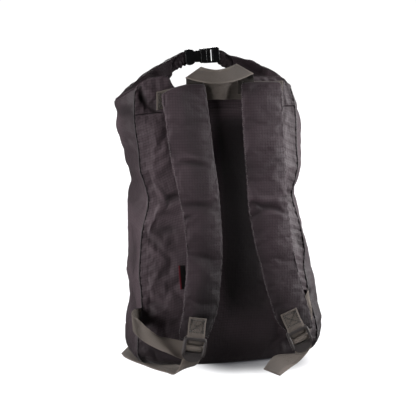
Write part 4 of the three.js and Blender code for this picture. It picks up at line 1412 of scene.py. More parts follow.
@dataclass
class RollTop:
    """The mouth of the bag, rolled up and bent into a ring."""

    shop: Workshop
    creases: Creases
    neck: NeckForm = NeckForm()
    sides: int = 36
    steps: int = 150
    squareness: float = 2 / 2.6
    end_share: float = 0.012
    plump: Span = (0.86, 0.94)
    pleats: int = 26
    pleat_height: float = 0.5
    crumples: tuple[Span, ...] = ((14.0, 0.8), (34.0, 0.9))
    calm_ends: Span = (0.02, 0.16)
    sink: float = 0.4
    relief_unit: float = 2.0
    pleat_pitch: float = 7.0
    overlap: float = 1.6
    shade: float = 2.6
    gather_start: float = 0.8
    gather_end: float = 0.3
    gather_shares: tuple[float, ...] = (0.07, 0.035, 0.006)
    gather_points: int = 34
    gather_span: Span = (0.1, 1.0)
    tall_left: Span = (9.8, 9.4)
    tall_right: Span = (9.8, 9.6)
    deep: Span = (5.8, 3.6)
    pleat_span: Span = (0.15, 0.5)
    pleat_left: float = 0.1
    pleat_right: float = 0.03
    pleat_relief: float = 0.6
    drop_left: float = 1.2
    drop_right: float = 4.0

    def build(self, material: Material) -> None:
        """Makes the roll with its wound layers and pleats.

        Args:
            material: The shell's finish.
        """
        s = np.linspace(0, 1, self.steps)
        middle, outward = self.neck.ring_at(s)
        angle = np.linspace(0, TURN, self.sides, endpoint=False)
        cos = np.sign(np.cos(angle)) * np.abs(np.cos(angle)) ** self.squareness
        sin = np.sign(np.sin(angle)) * np.abs(np.sin(angle)) ** self.squareness
        end = np.minimum(to_end(s) / self.end_share, 1)
        plump = lerp(*self.plump, np.sqrt(1 - (1 - end) ** 2))[:, None]
        points = middle[:, None] + outward[:, None] * (self.neck.roll_radial * plump * cos)[..., None]
        points[..., 1] += self.neck.roll_thick * plump * sin
        sheet = Sheet(points, closed=True)
        uv = sheet.uv()
        normals = sheet.normals()
        pleat = np.sin(s * TURN * self.pleats + 3 * np.sin(s * 17))[:, None] * np.cos(angle)
        lift = self.pleat_height * pleat
        for size, height in self.crumples:
            lift += self.creases.crumple(points, size, height)
        lift *= smoothstep(to_end(s), *self.calm_ends)[:, None]
        sheet.points = points + normals * (lift - self.sink)[..., None]
        relief = np.clip(lift / self.relief_unit, -1, 1) - self.shade
        mesh = sheet.mesh("roll_cloth", uv, relief, caps=True)
        made = self.shop.piece("roll_cloth", mesh, material, Slot.SHELL, "roll_top")
        self.shop.smooth(made)
        for side in Side:
            self._gather(side, material)

    def _gather(self, side: Side, material: Material) -> None:
        """Makes the end of the roll, gathered over the tab that carries a buckle half."""
        node = f"buckle_tab_{side.value}"
        low, high = (np.array(corner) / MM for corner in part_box(node))
        left = side is Side.LEFT
        shares = np.array(self.gather_shares)
        inner = self.neck.ring_at(shares if left else 1 - shares)[0]
        level = (low[2] + high[2]) / 2 - (self.drop_left if left else self.drop_right)
        near = low[0] if left else high[0]
        far = high[0] + self.overlap if left else low[0] - self.overlap
        stops = [*inner, (lerp(near, far, 0.6), inner[0][1], level), (far, inner[0][1], level)]
        route = smooth_route(stops, self.gather_points)
        t = np.linspace(0, 1, len(route))
        along = unit(np.gradient(route, axis=0))
        across = np.cross(along, np.array([0.0, 1.0, 0.0])) * (1 if left else -1)
        angle = np.linspace(0, TURN, self.sides, endpoint=False)
        drawn_in = smoothstep(t, *self.gather_span)
        tight = lerp(self.gather_start, 1.0, smoothstep(t, 0, self.gather_end))
        tall = (lerp(*(self.tall_left if left else self.tall_right), drawn_in) * tight)[:, None]
        deep = (lerp(*self.deep, drawn_in) * tight)[:, None]
        inner_side = np.clip(0.6 - np.cos(angle), 0, 1.6)[None]
        run = run_along(route)
        pleat = np.sin(run * TURN / self.pleat_pitch + 0.8 * np.sin(run / 3))[:, None] * inner_side
        pleat = pleat * smoothstep(t, *self.pleat_span)[:, None]
        swell = 1 + (self.pleat_left if left else self.pleat_right) * pleat
        points = route[:, None] + across[:, None] * (tall * np.cos(angle) * swell)[..., None]
        points[..., 1] += deep * np.sin(angle) * swell
        points = points if left else points[:, ::-1]
        sheet = Sheet(points, closed=True)
        relief = self.pleat_relief * pleat
        mesh = sheet.mesh(node + "_gather", sheet.uv(), relief - self.shade, caps=True)
        made = self.shop.piece(node + "_gather", mesh, material, Slot.SHELL, node)
        self.shop.smooth(made)


@dataclass
class StrapPads:
    """The padded shoulder straps."""

    shop: Workshop
    creases: Creases
    finish: RipstopFinish = RipstopFinish("strap_ripstop", (0.049, 0.0336, 0.0402), 3.8 * MM, 0.38, 1.2,
                                          0.68, foot_shade=0.22)
    columns: tuple[str, ...] = ("z", "left", "right", "face", "thick")
    rows_left: tuple[tuple[float, ...], ...] = (
        (47, -78.5, -37, -97.8, 6), (58, -79, -31.7, -97.5, 9), (87, -73.4, -22, -97, 11),
        (118, -70.7, -19.3, -98, 11.5), (151, -67.7, -16.4, -98, 11.5), (175, -68.3, -15.8, -98, 11.5),
        (217, -72, -17.5, -96, 11.5), (244, -77, -19.2, -94, 11), (272, -82, -22, -92, 11.5),
        (312, -89, -26, -84, 11.5), (352, -92, -29, -76.5, 11), (386, -96.5, -33, -73.2, 9.5),
        (391, -90, -33.5, -72.5, 8.5), (396, -76, -34.5, -71, 7.5), (400, -63, -36, -69, 5.5),
    )
    rows_right: tuple[tuple[float, ...], ...] = (
        (48, 75.9, 118, -97.8, 6), (63, 63, 115.6, -97.5, 9), (88, 54.6, 108.9, -97, 11),
        (118, 45.4, 99.8, -97, 11.5), (140, 40.2, 94, -97, 11.5), (166, 32.7, 88.3, -97, 11.5),
        (196, 26.4, 83.8, -96, 11.5), (226, 21.6, 80, -94, 11), (258, 20, 77, -92, 11.5),
        (291, 18, 76.4, -88, 11.5), (333, 17, 77, -80, 11.5), (354, 16.6, 76.8, -76.5, 11),
        (389, 15.6, 75.5, -73, 9.5), (396, 15.8, 75, -71.5, 8), (401, 18, 72, -69, 5.5),
    )
    rows: int = 116
    spans: int = 26
    rim: float = 0.16
    end_round: float = 3.5
    frill: float = 0.45
    frill_pitch: float = 9.5
    edge_wave: float = 0.5
    edge_reach: float = 0.16
    crumples: tuple[Span, ...] = ((38.0, 1.1), (13.0, 0.4))
    sink: float = 0.3
    relief_unit: float = 2.0
    least_held: float = 0.1
    end_shade: float = 0.8
    end_span: Span = (85.0, 77.0)
    end_inset: Span = (0.1, 0.28)
    # Painted shade on each strap's side towards the other strap: where it runs across the strap and how
    # strong it is high up and low down, between the heights of inner_low
    inner: dict[Side, tuple[Span, Span]] = field(default_factory=lambda: {
        Side.LEFT: ((-0.6, 0.2), (0.7, 2.2)), Side.RIGHT: ((-0.1, 0.8), (0.4, 1.0)),
    })
    inner_low: Span = (190.0, 90.0)
    shift: float = 1.8
    settle: ClothSettle = ClothSettle(5.0, 0.02, 4.0)
    rims: dict[Side, tuple[Array, Array]] = field(default_factory=dict)
    folds: tuple[Fold, ...] = (
        Fold("shoulder_strap_left", ((175, 166), (184, 163), (196, 164), (206, 166)), 4, 2.6),
        Fold("shoulder_strap_left", ((176, 161), (186, 158), (200, 160)), 4, 1.6, FoldKind.RIDGE),
        Fold("shoulder_strap_left", ((183, 207), (196, 206), (211, 206)), 5, 2.6),
        Fold("shoulder_strap_left", ((208, 202), (213, 197), (219, 192)), 3, 1.8, FoldKind.RIDGE),
        Fold("shoulder_strap_left", ((183, 221), (187, 218), (192, 217)), 3, 2),
        Fold("shoulder_strap_left", ((178, 321), (196, 319), (218, 316)), 3.2, 4.5),
        Fold("shoulder_strap_left", ((190, 262), (205, 259), (222, 262)), 8, 1.6),
        Fold("shoulder_strap_right", ((248, 205), (256, 203), (263, 207), (276, 209), (290, 207)),
             4, 3.2),
        Fold("shoulder_strap_right", ((250, 199), (264, 200), (282, 200)), 5, 2.0, FoldKind.RIDGE),
        Fold("shoulder_strap_right", ((280, 200), (285, 197), (289, 192)), 3, 2.0),
        Fold("shoulder_strap_right", ((249, 219), (256, 215), (264, 212)), 4, 1.8),
        Fold("shoulder_strap_right", ((262, 214), (276, 214), (290, 212)), 4, 1.6, FoldKind.RIDGE),
    )

    def table(self, side: Side) -> Table:
        """The section table of one strap."""
        return Table(self.columns, self.rows_left if side is Side.LEFT else self.rows_right)

    def build(self) -> None:
        """Makes both straps."""
        material = self.finish.material()
        for side in Side:
            self._pad(side, material)

    def _pad(self, side: Side, material: Material) -> None:
        """Makes one strap as a crowned pad between its sewn edges."""
        table = self.table(side)
        keys = table.column("z")
        z = np.linspace(keys[0], keys[-1], self.rows)
        share = lerp(-1.0, 1.0, edge_dense(self.spans, 0.75))
        ring = np.concatenate([share, share[::-1][1:-1]])
        face = np.concatenate([np.ones(len(share)), -np.ones(len(share) - 2)])
        outside = face[None] > 0
        crown = self.rim + (1 - self.rim) * np.maximum(1 - np.abs(ring) ** 3.2, 0) ** 0.55
        left, right = table.at("left", z) + self.shift, table.at("right", z) + self.shift
        thick = table.at("thick", z)
        ends = np.minimum(np.minimum(z - keys[0], keys[-1] - z) / self.end_round, 1)
        depth = thick * (0.25 + 0.75 * np.sqrt(1 - (1 - ends) ** 2))
        middle = table.at("face", z) + thick / 2
        wave = np.sin(z * TURN / self.frill_pitch + 2 * np.sin(z / 23))[:, None]
        half = ((right - left) / 2)[:, None] + self.frill * wave * (np.abs(ring)[None] > 0.9)
        x = ((left + right) / 2)[:, None] + half * ring[None]
        y = middle[:, None] - (depth / 2)[:, None] * (crown * face)[None]
        tall = np.broadcast_to(z[:, None], x.shape)
        points = np.stack([x, y, tall], axis=-1)
        sheet = Sheet(points, closed=True)
        uv = np.stack([x, tall], axis=-1) * MM
        normals = sheet.normals()
        node = f"shoulder_strap_{side.value}"
        lift = self.creases.lift(self.folds, node, points) * outside
        edge = 1 - np.abs(ring)[None]
        lift += self.edge_wave * wave * np.exp(-edge / self.edge_reach)
        for size, height in self.crumples:
            lift += self.creases.crumple(points, size, height)
        calm = np.minimum(edge / 0.1 + 0.25, 1)
        sheet.points = points + normals * (lift * calm - self.sink)[..., None]
        relief = np.clip(lift / self.relief_unit, -1, 1) - self._shade(side, z, ring) * outside
        mesh = sheet.mesh(node + "_pad", uv, relief, caps=True)
        held = np.maximum(edge < 0.02, ends[:, None] < 0.5).astype(float)
        self.settle.settle(mesh, np.maximum(held, self.least_held).reshape(-1))
        corners = np.array([vertex.co for vertex in mesh.vertices]).reshape(*points.shape) / MM
        self.rims[side] = (corners[:, 2], corners[:, len(share) - 3])
        made = self.shop.piece(node + "_pad", mesh, material, Slot.STRAP, node)
        self.shop.smooth(made)

    def _shade(self, side: Side, z: Array, ring: Array) -> Array:
        """How dark a strap's face is, towards its foot and on the side of the other strap."""
        inside = smoothstep(1 - np.abs(ring), *self.end_inset)[None]
        shade = self.end_shade * smoothstep(z, *self.end_span)[:, None] * inside
        span, strength = self.inner[side]
        inward = smoothstep(ring if side is Side.LEFT else -ring, *span)[None]
        return shade + inward * lerp(*strength, smoothstep(z, *self.inner_low))[:, None]


@dataclass(frozen=True)
class Ribbon:
    """Flat webbing between two edges, each a smooth curve through its points, in millimetres."""

    near: tuple[Place, ...]
    far: tuple[Place, ...]
    thickness: float = 1.6
    steps_between: int = 10
    late: Span = (0.45, 0.85)
    edge_round: float = 0.7
    fine_steps: int = 401

    def mesh(self, name: str, shade: float = 0.0, end_shade: Optional[float] = None) -> Mesh:
        """Makes the ribbon with rounded edges and closed ends.

        Args:
            name: The mesh's name.
            shade: Painted shade on the ribbon, from 0 to 1, as it lies under other webbing; a value
                below 0 paints light.
            end_shade: The painted shade of its last stretch, where that differs; a value below 0 paints
                light.

        Returns:
            The new mesh.
        """
        count = (len(self.near) - 1) * self.steps_between + 1
        near = smooth_route(self.near, count)
        far = smooth_route(self.far, count)
        middle = (near + far) / 2
        half = (far - near) / 2
        normal = unit(np.cross(np.gradient(middle, axis=0), half))
        width = np.linalg.norm(half, axis=-1)
        soften = self.edge_round / np.maximum(width, 1)
        under = [(-1, -0.45, 0), (-1, -1, 1), (-0.5, -1, 0), (0, -1, 0), (0.5, -1, 0), (1, -1, 1),
                 (1, -0.45, 0)]
        points = []
        across = []
        for share, height, tuck in under + [(-share, -height, tuck) for share, height, tuck in under]:
            reach = share * (1 - tuck * soften)
            lift = normal * height * self.thickness / 2
            points.append(middle + half * reach[:, None] + lift)
            across.append((reach + 1) * width)
        grid = np.stack(points, axis=1)
        along = np.broadcast_to(run_along(middle)[:, None], grid.shape[:2])
        uv = np.stack([np.stack(across, axis=1), along], axis=-1) * MM
        late = smoothstep(np.linspace(0, 1, count), *self.late)[:, None]
        tone = lerp(shade, shade if end_shade is None else end_shade, late)
        relief = -np.broadcast_to(tone, grid.shape[:2])
        return Sheet(grid, closed=True).mesh(name, uv, relief, caps=True)

    def on_face(self, across: Sequence[float], along: Sequence[float], lift: float = 0.15) -> Array:
        """Points on the face of the ribbon that looks towards the wearer.

        Args:
            across: Shares of the width.
            along: Shares of the length.
            lift: How far the points stand off the face.

        Returns:
            The points, in millimetres.
        """
        near = smooth_route(self.near, self.fine_steps)
        far = smooth_route(self.far, self.fine_steps)
        row = np.round(np.asarray(along) * (self.fine_steps - 1)).astype(int)
        normal = unit(np.cross(np.gradient((near + far) / 2, axis=0), far - near))[row]
        normal = np.where(normal[:, 1:2] > 0, -normal, normal)
        share = np.asarray(across)[:, None]
        return lerp(near[row], far[row], share) + normal * (self.thickness / 2 + lift)

    def box_stitch(self, start: float, end: float, inset: float, steps: int = 24) -> list[Array]:
        """The lines of a sewn box with a cross in it.

        Args:
            start: Share of the length where the box starts.
            end: Share of the length where it ends.
            inset: Share of the width left free on both sides.
            steps: Points on each line.

        Returns:
            One line of points for each seam.
        """
        corners = [(inset, start), (1 - inset, start), (1 - inset, end), (inset, end)]
        pairs = [(0, 1), (1, 2), (2, 3), (3, 0), (0, 2), (1, 3)]
        t = np.linspace(0, 1, steps)
        lines = []
        for i, j in pairs:
            across, along = (lerp(corners[i][k], corners[j][k], t) for k in (0, 1))
            lines.append(self.on_face(across, along))
        return lines

    def zigzag(self, at: float, width: float, inset: float, turns: int) -> Array:
        """A bar of zigzag stitches across the ribbon at a share of its length."""
        t = np.linspace(0, 1, 2 * turns + 1)
        swing = np.where(np.arange(2 * turns + 1) % 2, 1, -1)
        return self.on_face(lerp(inset, 1 - inset, t), np.clip(at + swing * width / 2, 0, 1))


@dataclass(frozen=True)
class LockPlace:
    """Where a ladder lock hangs, in millimetres and degrees about Y."""

    x: float
    y: float
    z: float
    turn: float

    def put(self, point: Place) -> Place:
        """A point of the lock's own frame in the bag."""
        a = math.radians(self.turn)
        x, y, z = point
        aside = x * math.cos(a) + z * math.sin(a)
        rise = z * math.cos(a) - x * math.sin(a)
        return self.x + aside, self.y + y, self.z + rise


@dataclass
class WebbingSet:
    """All flat webbing: yoke band, grab handle, strap tabs, adjusters and buckle tabs."""

    shop: Workshop
    bag: BagForm = BagForm()
    width: float = 25.0
    thickness: float = 1.6
    gap: float = 0.4
    lock_thick: float = 3.5
    lock_top: float = 18.0
    lip: float = -18.0
    tab_length: float = 27.0
    tab_off: float = 3.1
    tab_rise: float = 4.1
    loop_foot: float = 8.2
    weave_top: float = 5.4
    weave_foot: float = -1.6
    weave_gap: float = 1.7
    band_half: float = 12.0
    band_bars: Span = (0.022, 0.978)
    tab_box: tuple[float, float, float] = (0.03, 0.18, 0.12)
    # Painted shade on pieces of webbing; a value below 0 paints light instead
    leg_shade: float = 0.9
    run_shade: float = -0.3
    loop_shade: float = 0.08
    loop_end_shade: float = -1.15
    weave_shade: float = -0.4
    tail_shade: float = -0.15
    seams: list[Array] = field(default_factory=list)
    locks: tuple[tuple[Side, LockPlace], ...] = (
        (Side.LEFT, LockPlace(-58.5, -102.5, 33, 10)), (Side.RIGHT, LockPlace(97.5, -102.5, 36, -22)),
    )
    finish: WebbingFinish = WebbingFinish("grey_webbing", (0.078, 0.0655, 0.0575), 25 * MM)
    band: tuple[tuple[float, float, float], ...] = (
        (-99, 376.5, 2), (-78, 381, 0.9), (-58, 385, 1.4), (-36, 388, 1.6), (-20, 389.5, 5),
        (-6, 389.5, 7), (6, 389, 3), (16, 388.5, 1.6), (44, 388, 1.4), (64, 387.5, 0.7),
        (82, 387.5, 0.7),
    )
    handle: tuple[EdgeRow, ...] = (
        ((-62.7, -77, 409), (-36.7, -60.5, 422.2)), ((-46.8, -93, 405.2), (-30, -72, 420.4)),
        ((-25.8, -102, 403), (-19.9, -80, 419.5)), ((1.2, -96, 405), (-4.2, -74, 421.3)),
        ((33, -77, 412.7), (13, -60.5, 425.3)),
    )
    handle_left: tuple[EdgeRow, ...] = (
        ((-62.4, -76.5, 409.2), (-37, -60.5, 422)), ((-59.5, -67, 406.8), (-35, -61.2, 412)),
        ((-58.5, -62.6, 403.4), (-34, -62.6, 404)), ((-58.5, -62.6, 384), (-34, -62.6, 384)),
    )
    handle_right: tuple[EdgeRow, ...] = (
        ((13.3, -60.5, 425), (32.8, -76.5, 412.8)), ((14, -61.2, 413), (36, -67, 408)),
        ((15, -62.6, 404), (38, -62.6, 403.6)), ((15, -62.6, 384), (38, -62.6, 384)),
    )
    run_left: tuple[EdgeRow, ...] = (
        ((-127.9, -68.6, 63.6), (-124.9, -67.2, 88.4)), ((-132, -77, 65), (-131.5, -74, 89.5)),
        ((-140.5, -90, 67), (-141, -88, 91)), ((-142, -100, 64), (-144, -106, 87)),
        ((-137.5, -106, 58.5), (-137, -106, 83)), ((-126.8, -108, 49.5), (-122, -91, 66)),
        ((-108.8, -107, 38.4), (-104.3, -86.5, 51.5)), ((-92.5, -105, 30), (-88.3, -87, 47)),
        ((-77, -99.5, 20.5), (-71.5, -94, 44)), ((-60.1, -97, 14.9), (-53.9, -97, 39.1)),
    )
    run_right: tuple[EdgeRow, ...] = (
        ((121.5, -66.8, 88), (-0.19, 0.02, 1)), ((119.5, -75, 87), (-0.22, 0.06, 1)),
        ((116, -81, 82), (-0.4, 0.1, 0.9)), ((111.5, -83.5, 68), (-0.75, 0.05, 0.66)),
        ((107.5, -84.5, 52), (-0.93, 0, 0.37)), ((104, -86.5, 37), (-0.93, 0, 0.37)),
        ((102, -90, 29), (-0.93, 0, -0.1)), ((101.5, -94, 27), (-0.93, 0, -0.37)),
        ((100, -97, 32), (-0.93, 0, -0.37)),
    )
    tail_left: tuple[EdgeRow, ...] = (
        ((-80, -105, 8.5), (-55, -94, 7)), ((-88, -109.8, 2), (-65.5, -86, 5.2)),
        ((-97, -97, 1.4), (-77, -75, 4)), ((-109.8, -78, 1.3), (-90, -60, 2.6)),
        ((-122, -54, 1.3), (-102, -40, 2)), ((-133, -33, 1.4), (-112.5, -20, 3)),
        ((-140, -13, 1.4), (-121, -4, 6)), ((-141.5, 3, 1.5), (-126.5, 18, 8)),
    )
    tail_right: tuple[EdgeRow, ...] = (
        ((82, -101, 16), (97, -109, 8.5)), ((59.5, -104, 15.5), (77, -123.5, 3)),
        ((36.5, -126, 5), (53.7, -149, 1.2)),
    )

    def build(self) -> None:
        """Makes every webbing piece."""
        material = self.finish.material()
        self._yoke_band(material)
        parts = [self._from_edges(self.handle).mesh("handle")]
        for rows in (self.handle_left, self.handle_right):
            parts.append(self._from_edges(rows).mesh("handle_leg", self.leg_shade))
        self.shop.piece("grab_handle_webbing", join_meshes("grab_handle_webbing", parts), material,
                        Slot.WEBBING, "grab_handle")
        for side, lock in self.locks:
            self._tab(side, lock, material)
            self._adjuster(side, lock, material)

    @staticmethod
    def _from_edges(rows: Sequence[EdgeRow]) -> Ribbon:
        """A ribbon from rows of near and far edge points."""
        return Ribbon(tuple(row[0] for row in rows), tuple(row[1] for row in rows))

    def _from_middle(self, rows: Sequence[EdgeRow]) -> Ribbon:
        """A ribbon of full width from its middle line and the direction across it."""
        at = np.array([row[0] for row in rows], float)
        half = unit(np.array([row[1] for row in rows], float)) * self.width / 2
        return Ribbon(tuple(map(tuple, at - half)), tuple(map(tuple, at + half)))

    def _in_lock(self, lock: LockPlace, line: Sequence[Span]) -> list:
        """Edge rows across a lock's width along a line of depth and height in its frame."""
        half = self.width / 2
        return [(lock.put((-half, y, z)), lock.put((half, y, z))) for y, z in line]

    def _yoke_band(self, material: Material) -> None:
        """Makes the band across the yoke."""
        rows = []
        for x, z, off in self.band:
            left = self.bag.sections.at("seam_left", z)
            right = self.bag.sections.at("seam_right", z)
            u = (x - left) / (right - left)
            levels = z + self.band_half * np.array([-1.0, 0.0, 1.0])
            clear = self.bag.point(u, levels)[:, 1].min()
            rows.append(((x, clear - self.gap - self.thickness / 2 - off, z), (0, 0, 1)))
        band = self._from_middle(rows)
        mesh = band.mesh("yoke_band_webbing")
        self.shop.piece("yoke_band_webbing", mesh, material, Slot.WEBBING, "yoke_band")
        self.seams += [band.zigzag(at, 0.02, 0.1, 4) for at in self.band_bars]

    def _tab(self, side: Side, lock: LockPlace, material: Material) -> None:
        """Makes the tab that is sewn on a strap and loops round the lock's top bar."""
        top = self.lock_top
        bar = self.loop_foot
        off, rise = self.tab_off, self.tab_rise
        line = [
            (rise, top + self.tab_length), (rise - 1.2, top + self.tab_length / 2), (-1.6, top + 3.5),
            (-off, top - 2), (-off, bar + 3), (-off + 1, bar + 0.6), (0, bar), (off - 1, bar + 0.6),
            (off, bar + 3), (off, top + 1),
        ]
        ribbon = self._from_edges(self._in_lock(lock, line))
        mesh = ribbon.mesh(f"strap_tab_{side.value}_webbing")
        self.shop.piece(mesh.name, mesh, material, Slot.WEBBING, f"strap_tab_{side.value}")
        self.seams += ribbon.box_stitch(*self.tab_box)

    def _adjuster(self, side: Side, lock: LockPlace, material: Material) -> None:
        """Makes the webbing from the side seam through the lock to its free end."""
        over = self.lock_thick / 2 + self.weave_gap * self.gap + self.thickness / 2
        upper = self.weave_top
        lower = self.weave_foot
        weave = self._in_lock(lock, [
            (5.6, -9), (5.2, 0), (over + 0.4, upper - 1), (1, upper + 0.3), (-1, upper + 0.2),
            (-over, upper - 1.6), (-over, lower + 1.6), (-1, lower - 0.2), (1, lower - 0.3),
            (over, lower - 3), (over + 0.4, -10), (over + 0.8, self.lip + 1),
        ])
        name = f"adjuster_{side.value}_webbing"
        if side is Side.LEFT:
            tail = self.tail_left
            parts = [self._from_edges(self.run_left).mesh(name, self.loop_shade, self.loop_end_shade)]
        else:
            tail = self.tail_right
            parts = [self._from_middle(self.run_right).mesh(name, self.run_shade)]
        for rows, shade in ((weave, self.weave_shade), ([*weave[-2:], *tail], self.tail_shade)):
            parts.append(self._from_edges(rows).mesh(name, shade))
        mesh = join_meshes(name, parts)
        self.shop.piece(name, mesh, material, Slot.WEBBING, f"adjuster_{side.value}")


@dataclass
class Mouldings:
    """Buckle halves and ladder locks, with the rounded edges of moulded plastic."""

    shop: Workshop
    buckle: PlasticFinish = PlasticFinish("black_buckle", (0.0018, 0.0018, 0.002), 0.34, 0.18)
    lock: PlasticFinish = PlasticFinish("dark_lock", (0.036, 0.0315, 0.0315), 0.45)
    edge: float = 0.7
    edge_angle: float = 28.0
    edge_segments: int = 3
    sharp_angle: float = 50.0
    weld: float = 0.02
    flat_angle: float = 2.0
    rim_half: float = 14.5
    rim_top: float = 16.2
    rim_foot: float = -9.0
    rim_front: float = -4.6
    rim_bend: float = 4.0
    rim_side: float = 1.8
    rim_bar: float = 2.2
    rim_thick: float = 1.7
    buckle_place: LockPlace = LockPlace(-17.5, 14, 431.5, -4)
    core_span: Span = (-2.5, 6.0)
    core_half: float = 10.2
    core_thick: float = 10.4
    locks: tuple[tuple[Side, LockPlace], ...] = WebbingSet.locks

    def build(self) -> None:
        """Makes the buckle and both locks."""
        buckle = self.buckle.material()
        lock = self.lock.material()
        for node in ("buckle_socket", "buckle_plug"):
            self._rounded(node, buckle, Slot.BUCKLE)
        for side, place in self.locks:
            self._rounded(f"ladder_lock_{side.value}", lock, Slot.LOCK, place)

    def _rim(self, place: LockPlace) -> Mesh:
        """Makes the flat raised rim over the lock's top and sides, in front of the webbing."""
        half, top, foot, front = self.rim_half, self.rim_top, self.rim_foot, self.rim_front
        bend = self.rim_bend
        arm = [(half, -1.5, foot, 0.0), (half, front + 0.6, foot + 4, 0.0), (half, front, 4.0, 0.0),
               (half, front, top - bend, 0.0)]
        for angle in (30.0, 60.0):
            turn = math.radians(angle)
            aside = half - bend + bend * math.cos(turn)
            arm.append((aside, front, top - bend + bend * math.sin(turn), angle))
        arm += [(half - bend, front, top, 90.0), (0.0, front - 0.2, top, 90.0)]
        near = []
        far = []
        for side, stops in ((-1, arm), (1, arm[-2::-1])):
            for x, y, z, angle in stops:
                out = math.radians(angle)
                reach = lerp(self.rim_side, self.rim_bar, math.sin(out))
                aside = reach * math.cos(out)
                rise = reach * math.sin(out)
                near.append(place.put((side * (x - aside), y, z - rise)))
                far.append(place.put((side * (x + aside), y, z + rise)))
        return Ribbon(tuple(near), tuple(far), self.rim_thick).mesh("lock_rim")

    def _core(self) -> Mesh:
        """Makes the web of plastic between the plug's prongs, at the mouth of the socket."""
        near = tuple(self.buckle_place.put((x, 0, -self.core_half)) for x in self.core_span)
        far = tuple(self.buckle_place.put((x, 0, self.core_half)) for x in self.core_span)
        return Ribbon(near, far, self.core_thick).mesh("buckle_core")

    def _rounded(self, node: str, material: Material, slot: Slot,
                 place: Optional[LockPlace] = None) -> None:
        """Makes a copy of a CAD node with bevelled edges, and a lock's rim."""
        shape = bmesh.new()
        shape.from_mesh(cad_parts[node].data)
        bmesh.ops.remove_doubles(shape, verts=shape.verts, dist=self.weld * MM)
        bmesh.ops.dissolve_limit(shape, angle_limit=math.radians(self.flat_angle), verts=shape.verts,
                                 edges=shape.edges)
        mesh = bpy.data.meshes.new(node + "_moulding")
        shape.to_mesh(mesh)
        shape.free()
        if place is not None:
            mesh = join_meshes(node + "_moulding", [mesh, self._rim(place)])
        elif node == "buckle_plug":
            mesh = join_meshes(node + "_moulding", [mesh, self._core()])
        made = self.shop.piece(node + "_moulding", mesh, material, slot, node)
        bevel = made.modifiers.new("edges", "BEVEL")
        bevel.width = self.edge * MM
        bevel.segments = self.edge_segments
        bevel.limit_method = "ANGLE"
        bevel.angle_limit = math.radians(self.edge_angle)
        bevel.use_clamp_overlap = True
        mesh.shade_smooth()
        mesh.set_sharp_from_angle(angle=math.radians(self.sharp_angle))


@dataclass
class Trim:
    """Piping and the bare label."""

    shop: Workshop
    bag: BagForm = BagForm()
    piping: ThreadFinish = ThreadFinish("dark_piping", (0.026, 0.0195, 0.0225))
    label: LabelFinish = LabelFinish("label_tape", (0.003, 0.003, 0.003), (0.045, 0.003, 0.006),
                                     9.5 * MM)
    label_thick: float = 1.1
    label_lean: tuple[float, float, float] = (4.2, 2.8, 1.4)
    radius: float = 0.7
    cord_sides: int = 10
    cord_tuck: float = 0.5
    cord_rise: float = 1.8
    cord_span: Span = (4.0, 388.0)
    turn_in: Span = (0.004, 0.03)
    seam: list[Array] = field(default_factory=list)

    def build(self) -> None:
        """Makes the trim."""
        self._piping()
        self._label()

    def _piping(self) -> None:
        """Makes the cord in the seam round the back."""
        levels = np.linspace(*self.cord_span, 130)
        inward = np.linspace(*self.turn_in, 12)
        cords = []
        for seam, us in ((0.0, inward), (1 - 1e-6, 1 - inward)):
            up = self.bag.point(np.full_like(levels, seam), levels, self.cord_tuck)
            top = self.bag.point(us, self.bag.above_top(us, self.cord_rise), self.cord_tuck)
            route = np.vstack([up[up[:, 2] < top[0, 2] - 1], top])
            self.seam.append(route + np.array([0.0, -self.radius, 0.0]))
            cords.append(tube("piping", route, self.radius, self.cord_sides))
        mesh = join_meshes("back_piping_cord", cords)
        self.shop.piece("back_piping_cord", mesh, self.piping.material(), Slot.PIPING, "back_piping")

    def _label(self) -> None:
        """Makes the label tape in the strap's outer edge."""
        low, high = (np.array(corner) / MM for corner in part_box("side_label"))
        y = (low[1] + high[1]) / 2
        heights = (low[2], (low[2] + high[2]) / 2, high[2])
        near = tuple((low[0] + lean, y, z) for lean, z in zip(self.label_lean, heights))
        far = tuple((x + self.label.width / MM, y, z) for x, y, z in near)
        mesh = Ribbon(near, far, self.label_thick).mesh("side_label_tape")
        self.shop.piece("side_label_tape", mesh, self.label.material(), Slot.LABEL, "side_label")


